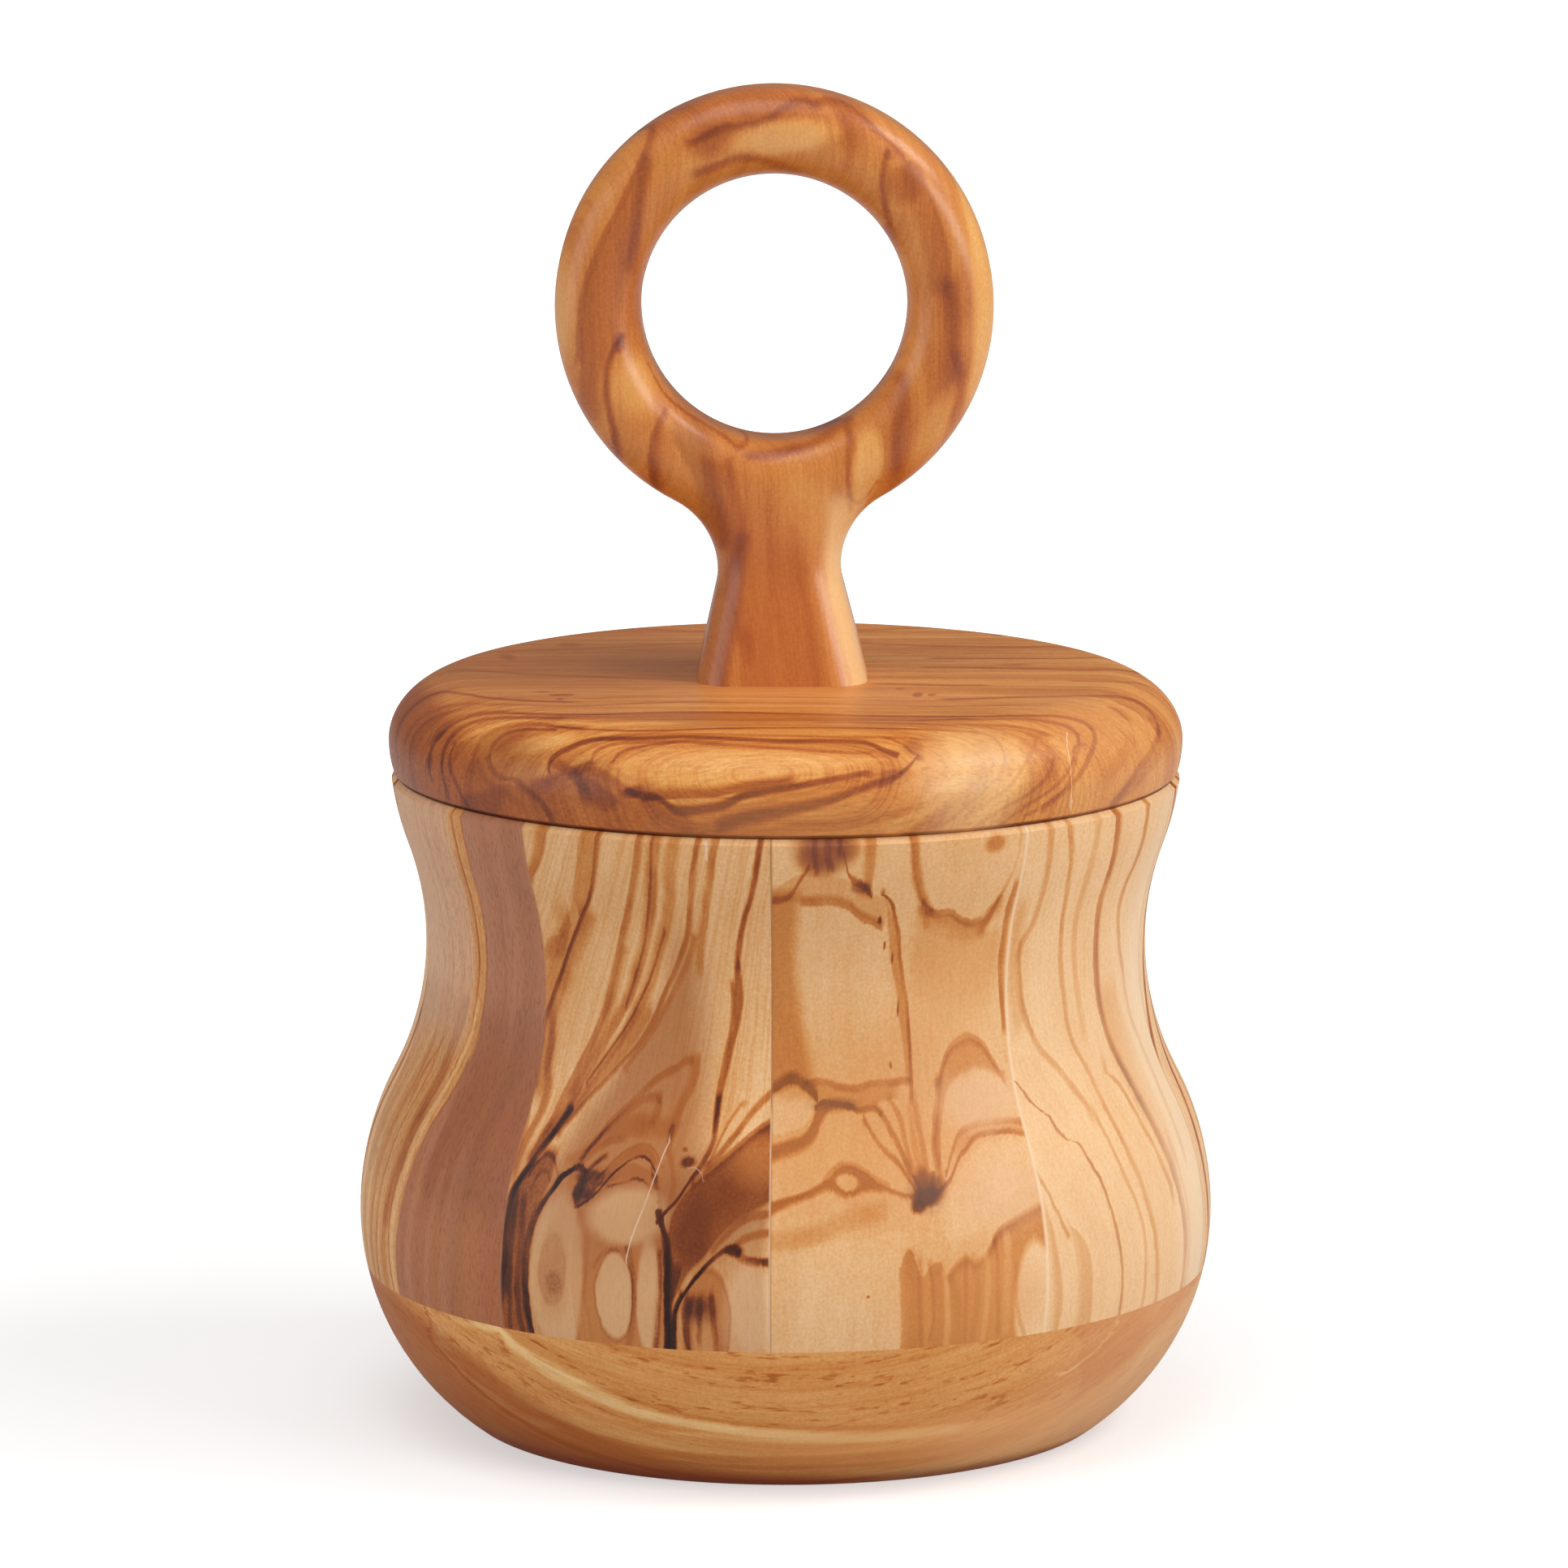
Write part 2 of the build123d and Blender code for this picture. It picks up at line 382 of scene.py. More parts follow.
frontLeft = {
    "seed": 3.0,
    "fibre": 0.03,
    "streaks": 0.07,
    "strength": 0.92,                # how dark its marks are
    "flow": (
        [(-26, 78), (-30, 70), (-36, 61), (-40, 52), (-42, 40), (-43, 19)],
        [(-3.4, 78), (-5.5, 69), (-7.3, 60), (-8.5, 52), (-10, 44), (-16, 34), (-15, 19)],
    ),
    "rings": 9.0,
    "broad": 0.14,
    "fine": 0.06,
    "ground": 0.14,
    "flecks": 0.08,
    "marks": [
        # top left corner, and the orange ground left of the great vein
        vein(0.34, (1.68, 0.59), [(-36.3, 78), (-37.1, 75.1), (-38.4, 73.1), (-40.4, 71.2)]),
        band(0.2, (1.0, 0.4), [(-29.9, 78), (-31.1, 73), (-33.5, 68), (-37, 64.7), (-38.9, 64.3),
            (-40.8, 62.4)], greatVein[:8]),
        vein(0.2, (0.5, 0.84), [(-29.6, 78), (-31, 73.4), (-33.2, 68.6), (-36.4, 65)]),
        band(0.24, (3.0, 0.4), [(-38.4, 66), (-40, 64), (-41.6, 62), (-43, 54)], [(-34, 66), (-36.8, 60.5),
            (-39.1, 56.6), (-40.4, 54)], fade=4),
        # the great vein: crisp at its left, a soft brown shadow at its right
        vein(0.52, (0.29, 0.63), greatVein),
        vein(0.34, (0.34, 2.86), greatVein[3:], fade=3),
        vein(0.36, (0.67, 0.84), [(-38.8, 54.6), (-38.6, 52), (-38.9, 48.8), (-38.3, 46.8), (-38.3, 44.2),
            (-39.4, 41.3), (-40, 38)], fade=3),
        vein(0.28, (1.34, 0.5), [(-40.6, 50), (-41, 46), (-40.4, 42), (-40.6, 38)], fade=3),
        # the bundle that sweeps down from the top to the black corner
        vein(0.34, (0.38, 1.01), [(-21.1, 78), (-22.2, 73.5), (-23.3, 70.5), (-24.8, 67), (-26.4, 63.4),
            (-28.1, 59.5), (-29.4, 55.9), (-31.3, 52.4), (-33.2, 49.4), (-34.9, 46.5), (-36.3, 42.6),
            (-37.8, 39)]),
        vein(0.2, (0.42, 1.01), [(-25.6, 63.5), (-27.4, 59.5), (-28.9, 55.5), (-31, 51.4), (-34, 46.4)]),
        vein(0.34, (1.43, 0.67), [(-18, 78), (-18.9, 73.8), (-19.7, 69.9), (-21, 65.7), (-22.6, 62.1),
            (-24.4, 58.5), (-26.5, 55.6), (-29.1, 52), (-31.4, 48.8), (-33.3, 45.5), (-35.1, 42.6),
            (-37.2, 39.4)]),
        vein(0.34, (0.21, 0.34), [(-18.9, 78), (-19.6, 73), (-20.5, 69), (-21.8, 65), (-23.5, 61),
            (-25.6, 57)]),
        vein(0.26, (1.18, 1.01), [(-15.6, 78), (-16.5, 73.8), (-17.1, 69.9), (-18.4, 66.3), (-19.7, 63.4),
            (-21.3, 59.8), (-23, 57.2), (-24.9, 54.6), (-27.2, 52), (-29.5, 49.4), (-31.7, 46.5),
            (-34, 43.6)]),
        vein(0.4, (0.25, 0.29), [(-18.6, 66), (-20.6, 61.6), (-22.8, 58), (-25, 55), (-28, 51.6),
            (-31, 48)]),
        vein(0.4, (0.34, 0.67), [(-12.4, 78), (-13.4, 73.8), (-14.1, 70.2), (-14.6, 67.3), (-15.7, 64.4),
            (-17.3, 61.5), (-19, 58.9), (-20.9, 55.6), (-23.2, 52.7), (-25.8, 50.4), (-28.7, 47.8),
            (-31.5, 45.2), (-34.2, 42.2)]),
        vein(0.34, (0.84, 0.5), [(-10, 77), (-11, 72.2), (-11.8, 68.6), (-12.6, 65.4),
            (-13.3, 62.6)], fade=3),
        vein(0.3, (0.42, 0.76), [(-14, 65.6), (-15.2, 62.8), (-17, 59.8), (-19.3, 56.6), (-21.8, 53.4),
            (-25, 50)]),
        band(0.3, (1.2, 0.8), [(-25.2, 56), (-28, 52), (-31.4, 47.6), (-34.9, 43.4), (-38, 39)],
            [(-20.6, 56), (-23.4, 52.6), (-27, 49), (-31.4, 44.8), (-35.4, 40.6), (-38.6, 37.6)], fade=3),
        # the black corner
        vein(0.85, (0.67, 0.67), [(-33.4, 44.4), (-35, 41.9), (-36.8, 39), (-38.8, 36.1), (-39.8, 33.8),
            (-40, 30), (-39.6, 27.3), (-40.4, 24), (-41, 18)]),
        band(0.6, (0.6, 0.5), [(-36, 39.5), (-38.4, 37.2), (-39.9, 34.4), (-40.6, 31), (-41, 25),
            (-41.6, 18)], [(-33, 39.5), (-33.2, 37), (-34.4, 34.4), (-35.4, 31.5), (-35.7, 25),
            (-35.3, 18)]),
        vein(0.6, (1.01, 0.92), [(-38.9, 33.6), (-38.9, 30), (-39.1, 27), (-39.4, 24.4)], fade=3),
        vein(0.4, 0.59, [(-37.2, 34), (-37, 29), (-37.3, 24), (-37, 18)], fade=2),
        vein(0.3, 0.42, [(-38.4, 26), (-38.8, 22), (-39.2, 18)], fade=2),
        vein(0.42, 0.5, [(-36.9, 37.4), (-36.2, 38.7), (-35.2, 39.6), (-34, 39.6), (-33.1, 38.6),
            (-32.7, 37.6)], True, 0.6),
        vein(0.2, 0.42, [(-36.2, 36), (-35.4, 37.6), (-34.4, 37.8), (-33.8, 36.6)], True, 0.6),
        vein(0.95, (0.76, 0.42), [(-30.6, 38.2), (-31.6, 37.7), (-32.8, 36.1), (-34.2, 34.2), (-35.2, 31.9),
            (-35.7, 29.3), (-35.8, 26), (-35.7, 22.8), (-35.3, 18)], fade=0.4),
        # orange hooks
        vein(0.4, (0.84, 0.59), [(-30.4, 38.9), (-28.1, 41.6), (-26.4, 43.6), (-24.5, 45.2), (-22.5, 46.8),
            (-20.6, 48.4), (-18.6, 49.6), (-16.7, 50.4), (-15.3, 51.2), (-14.3, 51.3)], True, 0.5),
        vein(0.4, (1.01, 0.5), [(-13.7, 51.3), (-13.6, 50), (-14.2, 48), (-15.1, 46.4), (-15.8, 44.8),
            (-16.3, 43)]),
        vein(0.4, (0.84, 0.59), [(-29.6, 39.2), (-27.6, 41.9), (-25.5, 43.9), (-23.5, 45.4), (-21.2, 46.7),
            (-19.6, 47), (-18.8, 46.7)], True, 0.5),
        vein(0.36, (1.01, 0.42), [(-18.7, 47), (-18.7, 45.6), (-19.2, 44.4)]),
        oval(0.3, (-18.9, 43.9), (2.4, 1.1), 1.2),
        band(0.34, (1.2, 1.4), [(-31, 38.4), (-28, 40), (-25, 41.3), (-21, 42)], [(-31, 40.5), (-28, 42.6),
            (-25, 44.8), (-21, 46)], True),
        vein(0.3, 0.67, [(-29, 39.4), (-27, 41), (-25, 42), (-23.8, 42.2)], True),
        # the black knot and its arches
        oval(0.9, (-29, 36.2), (0.7, 1.8), 1.0, None, -18),
        oval(0.7, (-28.2, 37.9), (1.8, 0.7), 1.1, None, 12),
        oval(0.6, (-27.9, 35.4), (1.3, 0.8), 1.1, None, 30),
        oval(0.5, (-27, 37), (2.4, 1.5), 1.3, None, 30),
        vein(0.6, 0.59, [(-28.4, 38.2), (-27, 39.4), (-25.8, 40.2)], True, 0.6),
        vein(0.9, (0.59, 0.59), [(-32.4, 36.8), (-31, 38), (-29.6, 38.6), (-28.6, 38.2)], True, 0.4),
        vein(0.66, (0.25, 0.34), [(-29, 34.3), (-27.4, 35.2), (-26.1, 36.3), (-24.8, 37.8), (-23.2, 39.2),
            (-21.2, 40.3), (-19.8, 40.4), (-18.6, 39.5), (-17.9, 38.3)], True, 0.4),
        vein(0.42, (0.25, 0.42), [(-27.6, 36.8), (-26, 38.2), (-24.2, 39.9), (-22.2, 41.2), (-20.2, 41.8),
            (-18.6, 41.2), (-17.4, 39.4)], True, 0.6),
        band(0.42, (0.4, 0.4), [(-27.4, 35.2), (-24.8, 37.8), (-21.2, 40.3), (-18.6, 39.5)], [(-27.4, 37),
            (-24.2, 39.9), (-20.2, 41.8), (-18, 40.4)], True),
        vein(0.55, 0.5, [(-18.6, 39.2), (-17.8, 37.2), (-17.1, 35.4), (-16.9, 33.6)]),
        vein(0.5, 0.34, [(-24.8, 36.8), (-22.5, 37.5), (-20.6, 37.9), (-19, 37.1),
            (-17.7, 35.5)], True, 0.6),
        band(0.42, (0.5, 0.5), [(-25.4, 36.6), (-22, 37.6), (-18, 36.6)], [(-25.4, 37.6), (-22, 39.8),
            (-18, 38.6)], True),
        # tan ground of the lower part, with pale ovals in it
        band(0.26, (0.4, 0.3), [(-28.6, 18), (-27.2, 18), (-22, 18), (-15.6, 18)], [(-28.6, 34.3),
            (-27, 33.9), (-23.2, 33.6), (-21.6, 32.5), (-20.6, 31.3), (-19.3, 31.9),
            (-15.6, 32.7)], True, 0.4),
        oval(-0.4, (-31.2, 26.4), (3.3, 9.4), 0.14),
        vein(0.22, (0.25, 0.67), [(-28.9, 34.4), (-27.4, 32), (-26.9, 28.6), (-27.2, 25), (-28.3, 20.6),
            (-29, 18)]),
        oval(0.4, (-31.9, 26.9), (1.7, 4.0), 0.4, (0.2, 0.16)),
        oval(0.2, (-31.6, 25.4), (1.0, 1.4), 0.8),
        oval(0.16, (-31.8, 26.7), (2.2, 5.6), 0.5),
        oval(-0.6, (-22.8, 24.6), (2.15, 5.3), 0.14, (0.36, 0.1)),
        oval(-0.6, (-18.1, 24.5), (1.25, 7.0), 0.3),
        vein(0.34, 0.59, [(-20.9, 30.6), (-20.4, 28), (-19.9, 25), (-20.3, 22), (-21.4, 18)]),
        vein(0.34, 0.67, [(-25.6, 28), (-24.6, 29.4), (-22.6, 30.2), (-21, 30.2)], True, 0.6),
        vein(0.2, 0.34, [(-28.6, 34.3), (-27, 33.9), (-23.2, 33.6), (-21.6, 32.5), (-20.6, 31.3),
            (-19.3, 31.9), (-17.2, 32.6)], True, 0.4),
        # black upright vein and its branches
        vein(1.0, (0.5, 0.59), [(-17.3, 34.6), (-16.6, 33), (-16, 31.6), (-15.7, 29.3), (-15.6, 26),
            (-15.4, 22.8), (-15.7, 18)], fade=0.5),
        vein(0.5, (0.42, 1.01), [(-16.4, 31.6), (-15.8, 28), (-15.6, 24), (-15.9, 18)]),
        vein(0.5, 0.5, [(-16.8, 30), (-16.6, 26), (-16.8, 22), (-17.4, 18)]),
        band(0.5, (0.3, 0.3), [(-15.8, 28), (-15.8, 18)], [(-13.4, 28), (-14.4, 24), (-14.8, 18)]),
        vein(0.9, (0.42, 0.5), [(-13.4, 25.4), (-14.1, 24), (-14.7, 21), (-14.9, 18)]),
        vein(0.9, (0.5, 0.5), [(-17.3, 33.4), (-16, 34.8), (-14.7, 36.1), (-13.8, 37.4), (-13.1, 38.4),
            (-12.4, 39.2)], True, 0.4),
        vein(0.34, 0.42, [(-16.3, 43.8), (-16.5, 41.7), (-16, 39.7), (-15.4, 38.1), (-15.7, 36.2),
            (-16.8, 34.2)]),
        # the long vein at the right, wide at the waist
        vein(0.56, (0.46, 0.5), [(-3.5, 78), (-4.3, 74.1), (-5, 71.2), (-6, 68.3), (-7, 65.4),
            (-7.4, 62.4)]),
        band(0.5, (0.45, 0.45), [(-7.5, 64), (-8.3, 59.8), (-8.4, 57.2), (-8.5, 55), (-9, 53.3),
            (-9.5, 50.7), (-10, 48.1), (-10.3, 45)], [(-7, 64), (-6.4, 59.8), (-6.5, 57.2), (-7, 55),
            (-7.6, 53.3), (-8.2, 50.7), (-9, 48.1), (-9.6, 45)]),
        vein(0.4, 0.34, [(-8.3, 60), (-8.5, 55), (-9.2, 52), (-10, 48), (-10.3, 44)]),
        vein(0.62, (0.46, 0.5), [(-9.8, 47), (-10, 44.6), (-10.5, 42.3), (-11.8, 40), (-13.1, 38.2)]),
        # fans and the reddish ground
        vein(0.26, 0.5, [(-10.8, 40), (-9.2, 43), (-7.9, 44.9), (-6.3, 46.8)], True),
        vein(0.38, 0.76, [(-11.4, 39.4), (-9.8, 40.7), (-7.2, 43.3), (-4.7, 45.9),
            (-1.6, 48.2)], True, 0.4),
        band(0.62, (0.8, 0.6), [(-15.4, 24), (-14.4, 24.6), (-12.8, 27.3), (-10.8, 29.3), (-8.9, 31.6),
            (-7, 33.2), (-4.7, 34.5), (-1.6, 36)], [(-15.4, 34.6), (-14, 36.8), (-12.8, 38), (-10.8, 39.4),
            (-8.9, 40.7), (-6.6, 42.3), (-4.7, 43.6), (-1.6, 45.2)], True, 0.4),
        vein(0.36, (1.34, 0.34), [(-12.8, 38), (-10.8, 39.4), (-8.9, 40.7), (-6.6, 42.3), (-4.7, 43.6),
            (-1.6, 45.2)], True, 0.4),
        oval(0.22, (-9.8, 36.4), (3.4, 2.2), 1.2, None, 30),
        oval(0.36, (-12.4, 32.4), (2.0, 3.6), 1.2),
        oval(-0.3, (-3.4, 40.6), (3.2, 2.4), 1.2, None, 30),
        vein(0.5, 0.67, [(-9.6, 30.6), (-7.6, 32.6), (-5.3, 34.2), (-1.6, 35)], True, 0.4),
        vein(0.46, 0.67, [(-7.2, 30.9), (-4.7, 32.3), (-1.6, 32.8)], True, 0.4),
        # lower right: a black line to a small knot, over the brown eye
        vein(0.95, (0.59, 0.5), [(-14.2, 23.4), (-12.8, 26), (-11.2, 28), (-9.6, 29.6), (-8.3, 30.5),
            (-7, 30.9), (-6, 30.5)], True, 0.3),
        vein(0.68, (0.76, 0.59), [(-6.6, 30.4), (-4.7, 29.8), (-1.6, 29.6)], True, 0.3),
        oval(0.9, (-6.9, 30.7), (1.1, 0.7), 0.8),
        oval(0.5, (-3.8, 29.6), (1.3, 0.5), 1.0),
        oval(-0.6, (-4.4, 24.2), (2.4, 5.2), 0.5),
        oval(0.34, (-10.2, 21.9), (2.5, 6.6), 0.1, (0.25, 0.1)),
        oval(-0.45, (-10.5, 19.6), (1.3, 3.8), 0.5),
        oval(0.5, (-11.3, 24.2), (1.6, 1.5), 1.3),
        vein(0.5, 0.59, [(-12.2, 24.4), (-12.7, 22), (-12.9, 18)], fade=2),
        vein(0.5, 0.42, [(-11, 24), (-11, 22), (-11.3, 20.4)], fade=2),
        vein(0.44, 0.42, [(-9.6, 25), (-9.2, 22), (-9.1, 18)], fade=2),
        # small knots
        oval(0.85, (-13.8, 40.1), (0.8, 0.6), 0.9),
        oval(0.6, (-14.4, 41.4), (0.3, 0.3), 0.8),
    ],
    "tints": [
        tint(colour(166, 92, 40), 0.74, band(1, (5, 6), [(-21, 60), (-29, 50), (-36, 40), (-37, 34)],
            [(-9, 60), (-8.6, 50), (-9, 34)], fade=11), over=False),
        tint(colour(180, 112, 62), 0.5, band(1, (1.0, 1.0), [(-40, 36), (-40, 17)], [(-2, 36),
            (-2, 17)], fade=6), over=False),
        tint(colour(236, 194, 146), 0.36, oval(0.7, (-31.2, 26.4), (3.2, 9.2), 0.3),
            oval(1, (-22.8, 24.6), (2.1, 5.2), 0.2), oval(1, (-18.1, 24.5), (1.2, 7.0), 0.4),
            oval(0.7, (-5, 23), (2.8, 6), 0.5), over=False),
        tint(colour(228, 182, 132), 0.55, oval(1, (-21.4, 33.8), (4.6, 3.0), 0.5, None, 10), over=False),
        tint(colour(124, 58, 24), 0.45, oval(1, (-9.5, 35.6), (6.8, 5.2), 1.2, None, 30)),
        tint(colour(84, 44, 44), 0.25, oval(1, (-11.2, 23.4), (1.5, 1.6), 1.2)),
        tint(colour(240, 214, 190), 0.6, vein(1, 0.11, [(-16.6, 42.2), (-18.1, 38.7), (-19.6, 34.2),
            (-21.1, 29.2)]), vein(1, 0.22, [(-11.4, 77.2), (-11.2, 75.4)], fade=0.4)),
        tint(colour(214, 170, 140), 0.5, vein(1, 0.12, [(-13.6, 39.5), (-12.4, 39.3),
            (-11.4, 38.2)], True, 0.3)),
    ],
    "glue": [
        seam(-2.0, 0.26, colour(216, 178, 146), 0.85, 10, 47),
        seam(-2.0, 0.22, colour(120, 78, 44), 0.6, 47, 90),
        seam(-40.4, 0.3, colour(176, 122, 92), 0.5),
    ],
}

# Front right stave: a pale window under a purple blotch, a star knot with fans, an arch and an
# orange patch at the foot.

